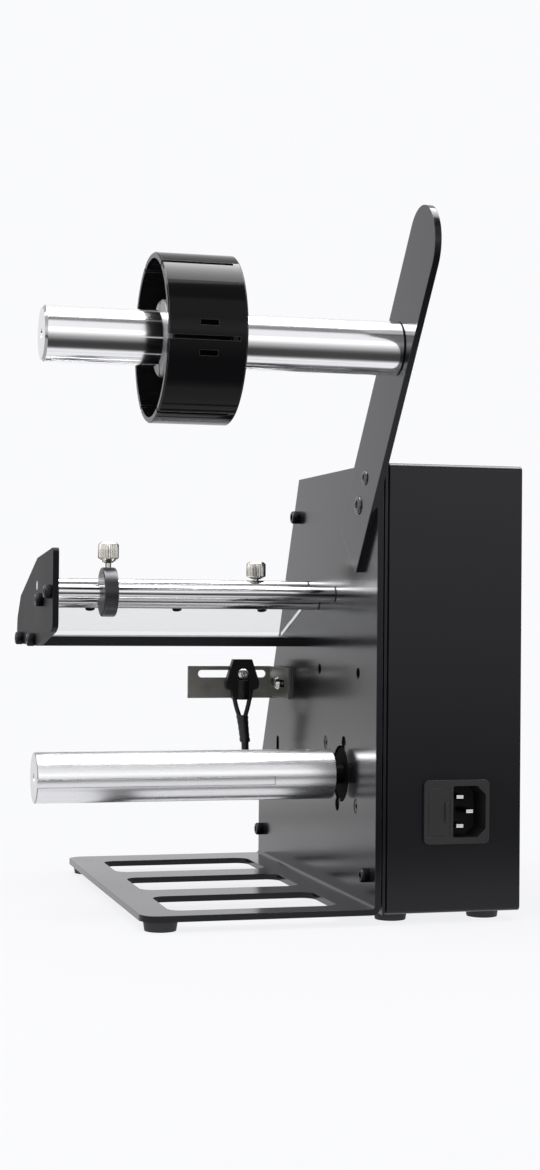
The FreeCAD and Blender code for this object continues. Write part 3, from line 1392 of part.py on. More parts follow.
def controls():
    """Speed dial and rocker switch on the slanted front panel, with what they turn and tilt."""
    bore = "stem_radius + tap_gap"
    body = turned("speed_dial", "Z", [
        ("dial_skirt", "0"), ("dial_skirt", bore), ("dial_gap", bore), ("dial_gap", "dial_radius"),
        ("dial_skirt", "dial_radius"), ("dial_skirt + dial_slope", "dial_radius - dial_slope"),
        ("dial_tall - dial_edge", "dial_radius - dial_slope - dial_edge / 2"),
        ("dial_tall", "dial_radius - dial_slope - 1.5 * dial_edge"), ("dial_tall", "0"),
    ])
    flute = new_sketch(body, "XY_Plane", "dial_tall + 1")
    circle(flute, "dial_radius - dial_edge", "0", "flute_radius")
    groove = pocket(body, flute, "dial_tall - dial_skirt")
    polar(body, [groove], "Z_Axis", int(size("dial_flutes")))
    mark = new_sketch(body, "XY_Plane", "dial_tall + 1")
    rectangle(mark, "-mark_wide / 2", "dial_radius / 5", "mark_wide / 2", "dial_radius - dial_skirt")
    pocket(body, mark, "1 + mark_wide")
    shift_to_panel(body, "knob_down")
    shaft = cylinder("+Z", "0", "0", "0", "stem_radius",
                     "panel_sheet + pot_deep + dial_skirt")
    on_panel(shaft, "knob_down", "-panel_sheet - pot_deep")
    group("dial_shaft", [shaft])
    bush = on_panel(cylinder("+Z", "0", "0", "0", "pot_bush", "panel_sheet + 1 + dial_gap / 2"),
                    "knob_down", "-panel_sheet - 1")
    case = on_panel(cylinder("+Z", "0", "0", "0", "pot_radius", "pot_deep"),
                    "knob_down", "-panel_sheet - pot_deep")
    through = on_panel(cylinder("+Z", "0", "0", "0", "stem_radius + running_gap", "2 * pot_deep"),
                       "knob_down", "-2 * panel_sheet - pot_deep")
    group("potentiometer", [cut(fuse([bush, case]), [through])])
    frame = panel_block("switch_wide + 2 * switch_rim", "switch_long + 2 * switch_rim", "switch_rim",
                        "switch_down", "0")
    barrel = panel_block("switch_wide", "switch_long", "switch_deep", "switch_down", "-switch_deep")
    well = panel_block("switch_wide - 2 * switch_rim", "switch_long - 2 * switch_rim", "switch_deep",
                       "switch_down", "-2 / 3 * switch_deep")
    half = "(switch_wide / 2 - switch_rim / 2)"
    pivot = cylinder("+X", "control_x - %s" % half, "top_deep + switch_down * sin(panel_lean)",
                     "side_top - switch_down * cos(panel_lean)", "rocker_pin + running_gap", "2 * %s" % half)
    group("switch_case", [cut(fuse([frame, barrel]), [well, pivot])])
    rocker = new_body("rocker")
    side = new_sketch(rocker, "YZ_Plane", "-switch_wide / 2 + switch_rim + clip_fit")
    half = "(switch_long / 2 - 1.6 * switch_rim)"
    polygon(side, [("-%s" % half, "0.4"), ("-%s" % half, "rocker_tall"), ("0", "0.7 * rocker_tall"),
                   (half, "rocker_tall"), (half, "0.4"), ("rocker_foot", "-rocker_foot"),
                   ("-rocker_foot", "-rocker_foot")])
    pad(rocker, side, "switch_wide - 2 * switch_rim - 2 * clip_fit")
    pin = new_sketch(rocker, "YZ_Plane", "-switch_wide / 2 + switch_rim / 2 + clip_fit")
    circle(pin, "0", "0", "rocker_pin")
    pad(rocker, pin, "switch_wide - switch_rim - 2 * clip_fit")
    shift_to_panel(rocker, "switch_down", "panel_lean - 90 + rocker_tilt")


def shift_to_panel(body, down, angle="panel_lean - 90"):
    """Places a finished body whose own Z axis points out of the slanted panel."""
    locate(body, "control_x", "top_deep + %s * sin(panel_lean)" % down,
           "side_top - %s * cos(panel_lean)" % down, (1, 0, 0), angle)


def panel_block(wide, long, tall, down, lift):
    """Block centred on a place of the slanted panel."""
    item = doc.addObject("Part::Box", "panel_block")
    bind(item, "Length", wide)
    bind(item, "Width", long)
    bind(item, "Height", tall)
    return on_panel(item, down, lift, "-(%s) / 2" % wide, "-(%s) / 2" % long)


def electronics():
    """Speed control board on its pillars, with the transformer on the housing's floor."""
    wall = "housing_reach - panel_sheet"
    places = [(y, z) for y in ("board_rear + board_inset", "board_rear + board_deep - board_inset")
              for z in ("board_low + board_inset", "board_low + board_tall - board_inset")]
    pillars = [cylinder("-X", wall, y, z, "board_inset / 2", "pillar_long") for y, z in places]
    group("board_pillars", pillars)
    face = "%s - pillar_long" % wall
    board = block("%s - board_thick" % face, "board_rear", "board_low", "board_thick", "board_deep",
                  "board_tall")
    heat_sink = block("%s - sink_reach" % face, "board_rear + 2 * board_inset",
                      "board_low + 1.5 * board_inset", "sink_reach", "sink_deep", "board_tall * 0.6")
    capacitor = cylinder("-X", face, "board_rear + board_deep * 0.55", "board_low + board_tall * 0.35",
                         "sink_deep / 2", "sink_reach * 1.3")
    relay = block("%s - sink_reach" % face, "board_rear + board_deep * 0.7", "board_low + board_tall * 0.5",
                  "sink_reach", "sink_deep * 1.25", "board_tall * 0.3")
    group("control_board", [fuse([board, heat_sink, capacitor, relay])])
    floor = "foot_tall + panel_sheet"
    core = block("coil_x + coil_over", "coil_y", floor, "core_long", "core_deep", "core_tall")
    coil = block("coil_x", "coil_y + coil_over", "%s + coil_over" % floor, "core_long + 2 * coil_over",
                 "core_deep - 2 * coil_over", "core_tall - 2 * coil_over")
    group("transformer", [fuse([core, coil])])


def cover_screws():
    """Small screws through the cover's top and floor into the tray's lips."""
    screws = []
    for way, place in COVER_SCREWS:
        head = cone(way, "cover_x + lip_screw", *place, "small_screw * 1.9", "small_screw * 1.3",
                    "small_screw")
        shank = cylinder(BACK[way], "cover_x + lip_screw", *place, "small_screw", "tray_lip - 2")
        screws.append(fuse([head, shank]))
    group("cover_screws", screws)


chassis()
housing_tray()
housing_cover()
feet()
housing_screws()
spindle_arm()
arm_screws()
supply_shaft()
core_bush()
roll_core()
rods()
clear_plate()
end_plate()
peel_table()
guide_collar()
takeup()
gear_motor()
sensor_bracket()
sensor()
sensor_cable()
inlet()
controls()
electronics()
cover_screws()
doc.recompute()

for item in doc.Objects:
    if "Invalid" in item.State or "Error" in item.State:
        raise ValueError("%s failed to build" % item.Label)
for part in PARTS:
    if part.Shape.isNull() or not part.Shape.isValid() or not part.Shape.Solids:
        raise ValueError("%s has no valid solid" % part.Label)
os.makedirs("parts", exist_ok=True)
for part in PARTS:
    part.Shape.exportStep(os.path.join("parts", part.Label + ".step"))
print("%d parts, %.0f mm high" % (len(PARTS), max(p.Shape.BoundBox.ZMax for p in PARTS)))
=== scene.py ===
import bmesh
import bpy
import math
from mathutils import Matrix, Vector


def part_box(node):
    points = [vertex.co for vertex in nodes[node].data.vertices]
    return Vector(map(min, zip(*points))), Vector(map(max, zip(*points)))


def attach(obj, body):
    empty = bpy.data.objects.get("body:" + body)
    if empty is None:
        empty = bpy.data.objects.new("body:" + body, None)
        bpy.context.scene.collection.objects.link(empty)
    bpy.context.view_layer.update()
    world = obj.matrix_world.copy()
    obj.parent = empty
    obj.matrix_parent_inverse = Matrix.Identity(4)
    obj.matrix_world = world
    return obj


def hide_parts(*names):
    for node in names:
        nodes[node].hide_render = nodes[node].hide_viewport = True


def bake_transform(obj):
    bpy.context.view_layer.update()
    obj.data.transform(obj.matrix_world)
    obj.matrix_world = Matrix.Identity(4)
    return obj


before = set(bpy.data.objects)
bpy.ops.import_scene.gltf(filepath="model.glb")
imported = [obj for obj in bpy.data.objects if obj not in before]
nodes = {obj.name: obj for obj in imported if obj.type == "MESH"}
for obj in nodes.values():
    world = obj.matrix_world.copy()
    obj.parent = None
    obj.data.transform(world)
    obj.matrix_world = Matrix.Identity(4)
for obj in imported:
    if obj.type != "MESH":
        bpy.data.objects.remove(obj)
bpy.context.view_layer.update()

# The camera stands behind the machine, a little to its left and level with the peel unit.
# Its place, turn and lens come from lines of the chassis, the shafts and the rods.
camera_place = (-0.24319, -0.95358, 0.15178)
yaw, pitch, roll = (math.radians(angle) for angle in (14.904, 0.784, 0.484))
camera = bpy.data.cameras.new("camera")
camera.sensor_width = 36.0
camera.lens = 60.06
camera.shift_x = 0.0014
camera.shift_y = -0.0046
camera.clip_start = 0.05
ahead = Vector((math.sin(yaw) * math.cos(pitch), math.cos(yaw) * math.cos(pitch), math.sin(pitch)))
across = Vector((math.cos(yaw), -math.sin(yaw), 0))
upward = across.cross(ahead)
right = across * math.cos(roll) + upward * math.sin(roll)
upper = upward * math.cos(roll) - across * math.sin(roll)
turn = Matrix((right, upper, -ahead)).transposed().to_4x4()
eye = bpy.data.objects.new("camera", camera)
eye.matrix_world = Matrix.Translation(camera_place) @ turn
bpy.context.scene.collection.objects.link(eye)
bpy.context.scene.camera = eye
bpy.context.scene.view_settings.view_transform = "Standard"

# The sensor's cable leaves a clip behind the side plate, comes out of the slot and climbs to the
# sensor: a round black jacket that ends in a short sleeve, from which two insulated leads run up.


class Flow:
    """A value in a shader: plain arithmetic on it adds the Math nodes."""

    def __init__(self, shader, socket):
        self.shader = shader
        self.socket = socket

    def work_out(self, operation, first, second):
        return self.shader.node("ShaderNodeMath", {"operation": operation}, {0: first, 1: second})

    def __add__(self, other):
        return self.work_out("ADD", self, other)

    __radd__ = __add__

    def __sub__(self, other):
        return self.work_out("SUBTRACT", self, other)

    def __rsub__(self, other):
        return self.work_out("SUBTRACT", other, self)

    def __mul__(self, other):
        return self.work_out("MULTIPLY", self, other)

    __rmul__ = __mul__

    def __abs__(self):
        return self.work_out("ABSOLUTE", self, 0.0)


class Finish:
    """The shader nodes of one material or of the sky."""

    def __init__(self, owner):
        owner.use_nodes = True
        self.owner = owner
        self.tree = owner.node_tree
        self.surface = self.tree.nodes.get("Principled BSDF") or self.tree.nodes.get("Background")

    def node(self, kind, settings=None, sockets=None, output=0):
        """Adds a node: its settings first, then the values or links of its sockets."""
        made = self.tree.nodes.new(kind)
        for name, value in (settings or {}).items():
            if name == "stops":
                ramp = made.color_ramp.elements
                while len(ramp) < len(value):
                    ramp.new(0.5)
                for stop, (place, shade) in zip(ramp, value):
                    stop.position = place
                    stop.color = (shade, shade, shade, 1)
            else:
                setattr(made, name, value)
        for name, value in (sockets or {}).items():
            if isinstance(value, Flow):
                self.tree.links.new(value.socket, made.inputs[name])
            else:
                made.inputs[name].default_value = value
        return Flow(self, made.outputs[output])

    def along(self, axis):
        """How far along one of the object's own axes, 0 to 2, a point lies, in metres."""
        where = self.node("ShaderNodeTexCoord", output="Object")
        return self.node("ShaderNodeSeparateXYZ", {}, {0: where}, output=axis)

    def noise(self, scale, stretch=(1, 1, 1), detail=3.0):
        """Noise on the object's own coordinates in metres, stretched along each axis."""
        where = self.node("ShaderNodeTexCoord", output="Object")
        laid = self.node("ShaderNodeMapping", {}, {"Vector": where, "Scale": stretch})
        return self.node("ShaderNodeTexNoise", {}, {"Vector": laid, "Scale": scale, "Detail": detail})

    def step(self, value, low, high):
        """0 below low and 1 above high, with a smooth rise between."""
        return self.node("ShaderNodeMapRange", {"interpolation_type": "SMOOTHSTEP"},
                         {"Value": value, "From Min": low, "From Max": high})

    def mix(self, factor, first, second):
        """Mixes two colours by a factor."""
        first, second = (tone if isinstance(tone, Flow) else (*tone, 1) for tone in (first, second))
        return self.node("ShaderNodeMix", {"data_type": "RGBA"}, {0: factor, 6: first, 7: second}, output=2)

    def soft_edge(self, radius):
        """The surface's normal with its edges rounded over by a radius."""
        return self.node("ShaderNodeBevel", {"samples": 4}, {"Radius": radius})

    def worn(self, rounded):
        """How near an edge is, from 0 on a flat face to 1 on a sharp edge."""
        plain = self.node("ShaderNodeNewGeometry", output="Normal")
        alike = self.node("ShaderNodeVectorMath", {"operation": "DOT_PRODUCT"},
                          {0: rounded, 1: plain}, output="Value")
        return self.step(1 - alike, 0.015, 0.22)

    def bump(self, height, depth, base=None, strength=1.0):
        """A normal that follows a height in metres, over the rounded edges where they are given."""
        sockets = {"Height": height, "Distance": depth, "Strength": strength}
        if base:
            sockets["Normal"] = base
        return self.node("ShaderNodeBump", {}, sockets)

    def feed(self, **flows):
        """Links varying values to the surface shader's sockets, and gives the material back."""
        for socket, flow in flows.items():
            self.tree.links.new(flow.socket, self.surface.inputs[socket.replace("_", " ")])
        return self.owner


def finish(name, colour, rough, metal=0.0, **fixed):
    """A new material with its plain values set."""
    made = Finish(bpy.data.materials.new(name))
    plain = {"Base_Color": (*colour, 1), "Roughness": rough, "Metallic": metal, **fixed}
    for socket, value in plain.items():
        made.surface.inputs[socket.replace("_", " ")].default_value = value
    return made


def moulded(name, colour, rough, grain=1500.0, depth=0.00004, edge=0.0003, shine=0.5):
    """Moulded plastic or rubber: fine grain, faint clouding, and edges rubbed a little paler."""
    made = finish(name, colour, rough, Specular_IOR_Level=shine)
    rounded = made.soft_edge(edge)
    cloud = made.noise(40.0)
    pale = tuple(min(1.0, value * 1.7 + 0.012) for value in colour)
    rubbed = made.worn(rounded) * cloud
    return made.feed(Base_Color=made.mix(rubbed, colour, pale),
                     Roughness=cloud * 0.14 + (rough - 0.07),
                     Normal=made.bump(made.noise(grain), depth, rounded))


def show(name, mesh, material):
    """Puts a mesh of one material into the scene as a piece, at the origin."""
    mesh.materials.append(material)
    piece = bpy.data.objects.new(name, mesh)
    bpy.context.scene.collection.objects.link(piece)
    return piece


def add_piece(name, shape, material):
    """Makes a piece from a finished bmesh."""
    mesh = bpy.data.meshes.new(name)
    shape.to_mesh(mesh)
    shape.free()
    return show(name, mesh, material)


def smooth(piece, angle=35.0):
    """Shades a piece smooth, but keeps its edges that are sharper than an angle."""
    for face in piece.data.polygons:
        face.use_smooth = True
    piece.data.set_sharp_from_angle(angle=math.radians(angle))
    return piece


def spun(outline, steps):
    """A bmesh turned about the Z axis from pairs of radius and height."""
    shape = bmesh.new()
    points = [shape.verts.new((wide, 0, high)) for wide, high in outline]
    lines = [shape.edges.new(pair) for pair in zip(points, points[1:])]
    bmesh.ops.spin(shape, geom=points + lines, cent=(0, 0, 0), axis=(0, 0, 1), dvec=(0, 0, 0),
                   angle=2 * math.pi, steps=steps, use_merge=True)
    bmesh.ops.remove_doubles(shape, verts=shape.verts, dist=0.000005)
    bmesh.ops.recalc_face_normals(shape, faces=shape.faces)
    return shape


def tube(name, points, radius, material):
    """A round tube along a smooth route, as a mesh, and its middle line."""
    curve = bpy.data.curves.new(name + "_line", "CURVE")
    curve.dimensions = "3D"
    curve.resolution_u = 10
    spline = curve.splines.new("NURBS")
    spline.points.add(len(points) - 1)
    for knot, place in zip(spline.points, points):
        knot.co = (*place, 1)
    spline.order_u = 3
    spline.use_endpoint_u = True
    item = bpy.data.objects.new(name + "_line", curve)
    bpy.context.scene.collection.objects.link(item)

    def as_mesh():
        return bpy.data.meshes.new_from_object(item.evaluated_get(bpy.context.evaluated_depsgraph_get()))

    line = [Vector(vertex.co) for vertex in as_mesh().vertices]
    curve.bevel_resolution = 6
    curve.use_fill_caps = True
    curve.bevel_depth = radius
    piece = show(name, as_mesh(), material)
    bpy.data.objects.remove(item)
    return smooth(piece, 60.0), line


jacket_radius, lead_radius = 0.0021, 0.0013
sensor_x, foot_x, cable_y, slot_y, slot_z = 0.0289, 0.0306, 0.12373, 0.11193, 0.0574
jacket = moulded("cable_jacket", (0.009, 0.009, 0.0095), 0.42, grain=2200.0, depth=0.00003, edge=0.0001,
                 shine=0.3)
cable_route = [(0.0567, slot_y, slot_z), (0.0439, slot_y, slot_z),
               (0.0349, slot_y + 0.0065, slot_z - 0.001), (foot_x, cable_y, 0.0640),
               (foot_x, cable_y, 0.0745)]
cable, cable_line = tube("sensor_cable", cable_route, jacket_radius, jacket)
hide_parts("sensor_cable_tail")
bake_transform(cable)
sum((b - a).length for a, b in zip(cable_line, cable_line[1:]))

neck_route = [(foot_x, cable_y, 0.0740), (0.0298, cable_y, 0.0804), (sensor_x, cable_y, 0.0868)]
neck = tube("cable_neck", neck_route, jacket_radius, jacket)[0]
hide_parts("sensor_cable_middle")

sleeve_foot, sleeve_lean = 0.0745, (sensor_x - foot_x) / 0.0143
sleeve_wide, sleeve_thin = 1.12, 0.84
wrinkles = [(0.00215, sleeve_foot), (0.00262, 0.0747), (0.00276, 0.0762), (0.00246, 0.0774),
            (0.00268, 0.0790), (0.00256, 0.0806), (0.00276, 0.0822), (0.00264, 0.0838), (0.00290, 0.0858),
            (0.00282, 0.0872), (0.00312, 0.0886), (0.0030, 0.0897), (0.0021, 0.0898)]
sleeve_shape = spun(wrinkles, 28)
bmesh.ops.scale(sleeve_shape, vec=(sleeve_wide, sleeve_thin, 1), verts=sleeve_shape.verts)
for point in sleeve_shape.verts:
    point.co.x += foot_x + sleeve_lean * (point.co.z - sleeve_foot)
    point.co.y += cable_y
shrunk = moulded("shrunk_sleeve", (0.010, 0.010, 0.0105), 0.34, grain=700.0, depth=0.0001, edge=0.0002,
                 shine=0.4)
sleeve = smooth(add_piece("cable_sleeve", sleeve_shape, shrunk))

lead_spread, lead_forward = 0.0044, 0.001
leads = []
for side, hand in ((-1, "left"), (1, "right")):
    out, close = side * lead_spread, side * lead_radius
    lead_route = [(sensor_x + close, cable_y, 0.0845), (sensor_x + close, cable_y, 0.0882),
                  (sensor_x + out * 0.80, cable_y + lead_forward, 0.0945),
                  (sensor_x + out, cable_y + lead_forward, 0.0992)]
    leads.append(tube("sensor_lead_" + hand, lead_route, lead_radius, jacket)[0])
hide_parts("sensor_cable_leads")
for piece in (neck, sleeve, *leads):
    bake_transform(piece)

# The studio: a pale sweep that fades into a pale backdrop, a soft sky, a large lamp overhead and
# a weaker one on the left. Cards that only reflections see give metal and gloss their bands.
paper_white = (0.955, 0.957, 0.975)
sky = bpy.data.worlds.new("sky")
bpy.context.scene.world = sky
air = Finish(sky)
seen = air.node("ShaderNodeLightPath", output="Is Camera Ray")
for ray in ("Is Glossy Ray", "Is Transmission Ray"):
    seen = seen + air.node("ShaderNodeLightPath", output=ray)
seen = air.node("ShaderNodeMath", {"operation": "MINIMUM"}, {0: seen, 1: 1.0})
air.feed(Color=air.mix(seen, (0.60, 0.60, 0.61), paper_white))
air.surface.inputs["Strength"].default_value = 1.0


def lamp(name, place, target, wide, power):
    """A square lamp that looks at a target."""
    light = bpy.data.lights.new(name, "AREA")
    light.shape = "SQUARE"
    light.size = wide
    light.energy = power
    item = bpy.data.objects.new(name, light)
    item.location = place
    item.rotation_euler = (Vector(target) - Vector(place)).to_track_quat("-Z", "Y").to_euler()
    bpy.context.scene.collection.objects.link(item)


lamp("overhead", (-0.3, -0.2, 1.6), (0, 0, 0.1), wide=1.2, power=14)
lamp("left_side", (-1.6, -0.8, 0.8), (0, 0, 0.15), wide=1.0, power=6)

floor_shape = bmesh.new()
bmesh.ops.create_grid(floor_shape, x_segments=2, y_segments=2, size=8.0)
sweep = finish("pale_sweep", (0.93, 0.93, 0.94), 0.9, Specular_IOR_Level=0.0)
white = sweep.node("ShaderNodeEmission", {}, {"Color": (*paper_white, 1)})
where = sweep.node("ShaderNodeTexCoord", output="Object")
apart = sweep.node("ShaderNodeVectorMath", {"operation": "LENGTH"}, {0: where}, output="Value")
fade = sweep.step(apart, 0.25, 0.7) * 0.12 + 0.88
lit = Flow(sweep, sweep.surface.outputs[0])
shown = sweep.node("ShaderNodeMixShader", {}, {0: fade, 1: lit, 2: white})
sweep.tree.links.new(shown.socket, sweep.tree.nodes["Material Output"].inputs["Surface"])
floor = add_piece("floor", floor_shape, sweep.owner)


def card(name, half, start, end, stops, strength=1.0):
    """A flat card that only reflections see, as far to the left as to the right of the middle. It
    runs from one pair of y and z to another, and its glow follows the stops along it."""
    shape = bmesh.new()
    corners = ((-half, *start), (half, *start), (half, *end), (-half, *end))
    shape.faces.new([shape.verts.new(corner) for corner in corners])
    made = finish(name + "_face", (0, 0, 0), 1.0, Specular_IOR_Level=0.0)
    axis = 2 if start[0] == end[0] else 1
    share = made.node("ShaderNodeMapRange", {}, {"Value": made.along(axis), "From Min": start[axis - 1],
                                                 "From Max": end[axis - 1]})
    glow = made.node("ShaderNodeValToRGB", {"stops": stops}, {0: share})
    made.surface.inputs["Emission Strength"].default_value = strength
    item = add_piece(name, shape, made.feed(Emission_Color=glow))
    item.visible_camera = False
    item.visible_diffuse = False
    item.visible_shadow = False
    item.visible_transmission = False


card("softbox", 1.2, (-0.32, 1.25), (0.45, 1.25), [(0.0, 0.75), (0.6, 1.0)], strength=14.0)
card("rear_floor", 3, (-3.0, 0.002), (-0.2, 0.002),
     [(0.0, 0.65), (0.64, 0.50), (0.79, 0.28), (0.89, 0.05), (0.98, 0.05), (1.0, 0.7)])
card("rear_wall", 3, (-2.6, 0.0), (-2.6, 1.2), [(0.0, 0.50), (0.25, 0.58), (0.5, 1.0), (1.0, 0.75)],
     strength=1.6)
card("rear_ceiling", 3, (-1.75, 2.0), (-0.65, 2.0), [(0.0, 0.95), (0.25, 0.22), (0.8, 0.22), (1.0, 0.6)])
card("front_floor", 4, (0.35, 0.002), (4.0, 0.002), [(0.0, 0.6), (0.06, 1.0), (0.3, 0.75), (1.0, 0.6)],
     strength=1.1)

# The chassis is one folded steel sheet, and the arm and the peel unit's end plate are flat bars
# cut from the same sheet. All have a black powder coat, satin and a little uneven, which is
# rubbed thinner and paler along the cut edges, where the paleness is also a painted highlight.


def powder_coat(name, colour, rough, edge, shine):
    """A baked black coat, a little bluish in its gloss, that wears thinner and paler on rubbed edges,
    painted brighter there as a highlight.
    """
    made = finish(name, colour, rough, Specular_IOR_Level=shine, Specular_Tint=(0.93, 0.935, 1.0, 1))
    rounded = made.soft_edge(edge)
    skin = made.noise(900.0, detail=2.0)
    cloud = made.noise(14.0, detail=2.0)
    # Rubbed edges: partly real wear and partly a painted highlight along the cut edges.
    rubbed = made.worn(rounded) * made.step(made.noise(70.0), 0.35, 0.7)
    edge_wear_and_highlight = tuple(value * 2.4 + 0.04 for value in colour)
    return made.feed(Base_Color=made.mix(rubbed, colour, edge_wear_and_highlight),
                     Roughness=cloud * 0.10 + (rough - 0.05),
                     Normal=made.bump(skin, 0.00003, rounded, strength=0.35))


def coat(material, *names):
    """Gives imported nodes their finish."""
    for name in names:
        for slot in nodes[name].material_slots:
            slot.material = material


coat(powder_coat("satin_black_coat", (0.0050, 0.0051, 0.0066), 0.17, edge=0.0006, shine=0.26),
     "chassis", "spindle_arm")
coat(powder_coat("flat_black_coat", (0.0050, 0.0051, 0.0062), 0.50, edge=0.0007, shine=0.09), "end_plate")

# The control housing is a folded steel shell on a flat tray, in the same black but with a finer,
# flatter texture, screwed to the side plate from behind.
coat(powder_coat("housing_black_coat", (0.0042, 0.0043, 0.0058), 0.24, edge=0.0004, shine=0.32),
     "housing_tray", "housing_cover")

# Six round feet, moulded in rubber, dull and slightly dusty. Two stand under the free side of the
# base and four under the housing.
coat(moulded("foot_rubber", (0.011, 0.011, 0.011), 0.66, grain=1400.0, depth=0.00008, edge=0.0008), "feet")

# The supply spindle and the take-up shaft are drawn aluminium bar, faced and chamfered in a
# lathe and polished lengthwise. The flat clip let into the take-up shaft is the same metal.


def drawn_bar(name, colour, rough, lines, edge):
    """Bright bar along X: lines is how dark its lengthwise lines are, partly drawing lines and partly a
    painted reflection. Its faced ends are duller.
    """
    made = finish(name, colour, rough, 1.0)
    normal = made.node("ShaderNodeNewGeometry", output="Normal")
    endwise = abs(made.node("ShaderNodeSeparateXYZ", {}, {0: normal}))
    rounded = made.soft_edge(edge)
    streak_and_reflection = made.noise(1.0, (4, 700, 700), detail=2.0)
    fine = made.noise(1.0, (12, 2600, 2600), detail=1.0)
    scuff = made.noise(26.0, (1, 1.6, 1.6), detail=4.0)
    dull, chamfer, face = (tuple(value * share for value in colour) for share in (1 - lines, 0.42, 0.74))
    # Lengthwise dark lines: drawing lines, and on the steel rods mostly a painted reflection of the
    # surroundings.
    bar = made.mix(made.step(streak_and_reflection, 0.50, 0.66), colour, dull)
    bar = made.mix(made.step(endwise, 0.35, 0.55), bar, chamfer)
    bar = made.mix(made.step(endwise, 0.86, 0.96), bar, face)
    return made.feed(Base_Color=bar,
                     Roughness=fine * 0.06 + scuff * 0.12 + (rough - 0.09),
                     Normal=made.bump(fine, 0.000004, rounded, strength=0.5))


coat(drawn_bar("polished_aluminium", (0.88, 0.88, 0.895), 0.135, lines=0.10, edge=0.0003), "supply_shaft")
coat(drawn_bar("satin_aluminium", (0.77, 0.77, 0.785), 0.27, lines=0.10, edge=0.0003),
     "takeup_shaft", "takeup_clip")

# The peel unit's rods and the dial's spindle are ground steel, bright, with dark lengthwise lines that are
# partly drawing lines and partly a painted reflection. Each rod has a thin black ring where it stands on
# the side plate, a dark piece that paints the shadow line where rod and plate meet.
rods = ("rod_rear", "rod_lower", "rod_front")
plate_x, shadow_ring_thick, shadow_ring_rim = 0.0467, 0.0004, 0.00008
coat(drawn_bar("ground_steel", (0.60, 0.60, 0.61), 0.13, lines=0.74, edge=0.0002), *rods, "dial_shaft")
# Painted shadow: thin black rings stand where each rod meets the side plate.
shadow_rings = bmesh.new()
for rod in rods:
    lowest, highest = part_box(rod)
    middle = (lowest + highest) / 2
    wide = (highest.z - lowest.z) / 2 + shadow_ring_rim
    ring = bmesh.ops.create_cone(shadow_rings, cap_ends=False, segments=40, radius1=wide, radius2=wide,
                                 depth=shadow_ring_thick)
    bmesh.ops.rotate(shadow_rings, cent=(0, 0, 0), matrix=Matrix.Rotation(math.pi / 2, 3, "Y"),
                     verts=ring["verts"])
    bmesh.ops.translate(shadow_rings, vec=(plate_x - shadow_ring_thick / 2, middle.y, middle.z), verts=ring["verts"])
rod_shadow_rings = smooth(add_piece("rod_shadow_rings", shadow_rings, moulded("shadow_ring_black", (0.008, 0.008, 0.008), 0.6)))
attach(rod_shadow_rings, "frame")

# The peel table is a flat steel bar, coated black like the chassis, with its front edge rounded
# and worn smooth where the backing paper turns over it.
table_black = (0.0045, 0.0045, 0.005)
table = finish("table_black", table_black, 0.3, Specular_IOR_Level=0.2)
table_edge = table.soft_edge(0.0005)
travel = table.noise(1.0, (8, 900, 900), detail=2.0)
coat(table.feed(Base_Color=table.mix(table.worn(table_edge), table_black, (0.03, 0.03, 0.032)),
                Roughness=travel * 0.16 + 0.20,
                Normal=table.bump(travel, 0.00001, table_edge, strength=0.4)), "peel_table")

# The roll core is a gloss black moulding. Its rim is slotted so that it springs inside a label
# core, and its cut edge shows paler where the gloss skin ends.
core_black, core_bare = (0.0046, 0.0046, 0.0052), (0.20, 0.20, 0.205)
core_low, core_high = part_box("roll_core")
core_long = core_high.x - core_low.x
gloss = finish("gloss_black", core_black, 0.07, Specular_IOR_Level=0.105)
core_edge = gloss.soft_edge(0.0005)
swirl = gloss.noise(22.0, (0.4, 1, 1))
off_middle = abs(gloss.along(0) - (core_low.x + core_high.x) / 2)
near_rim = gloss.step(off_middle, core_long * 0.42, core_long * 0.47)
rim_worn = gloss.worn(core_edge) * (near_rim * 0.65 + 0.35)
coat(gloss.feed(Base_Color=gloss.mix(rim_worn, core_black, core_bare),
                Roughness=swirl * 0.05 + rim_worn * 0.25 + 0.045,
                Normal=gloss.bump(gloss.noise(160.0), 0.00002, core_edge, strength=0.3)), "roll_core")

# The core turns on a split bush of pale grey plastic that grips the spindle, kept on by a
# spring steel ring.
coat(moulded("bush_grey", (0.15, 0.15, 0.155), 0.38, grain=900.0, depth=0.00004, edge=0.0004), "core_bush")


def plated(name, colour, rough, grain, edge=0.0002):
    """Plated or blackened metal: a fine uneven skin that is brighter where edges are rubbed."""
    made = finish(name, colour, rough, 1.0)
    rounded = made.soft_edge(edge)
    cloud = made.noise(300.0)
    rubbed = tuple(min(0.9, value * 1.5 + 0.05) for value in colour)
    return made.feed(Base_Color=made.mix(made.worn(rounded) * cloud, colour, rubbed),
                     Roughness=cloud * 0.20 + (rough - 0.10),
                     Normal=made.bump(made.noise(grain), 0.00003, rounded))


coat(plated("spring_steel", (0.33, 0.33, 0.34), 0.32, grain=900.0), "core_retainer")

# The screws that show and the gearbox's shaft are blackened steel; those of the bracket and the
# sensor, the rivet nuts and the nut are zinc plated.
black_oxide = plated("black_oxide", (0.020, 0.020, 0.022), 0.34, grain=1600.0, edge=0.0003)
coat(black_oxide, "spindle_bolt", "cover_screws", "motor_screws", "set_screw", "clear_plate_screws",
     "drive_shaft")
bright_zinc = plated("bright_zinc", (0.60, 0.60, 0.59), 0.26, grain=900.0)
coat(bright_zinc, "rivet_nuts", "inner_screws", "bracket_screw", "sensor_nut")

# The arm stands on the side plate with two domed screws. Their heads have a thin rim and a
# hexagon socket, turned from steel, blackened and rubbed bright at the edges.
arm_thick, arm_shank = 0.003, 0.004


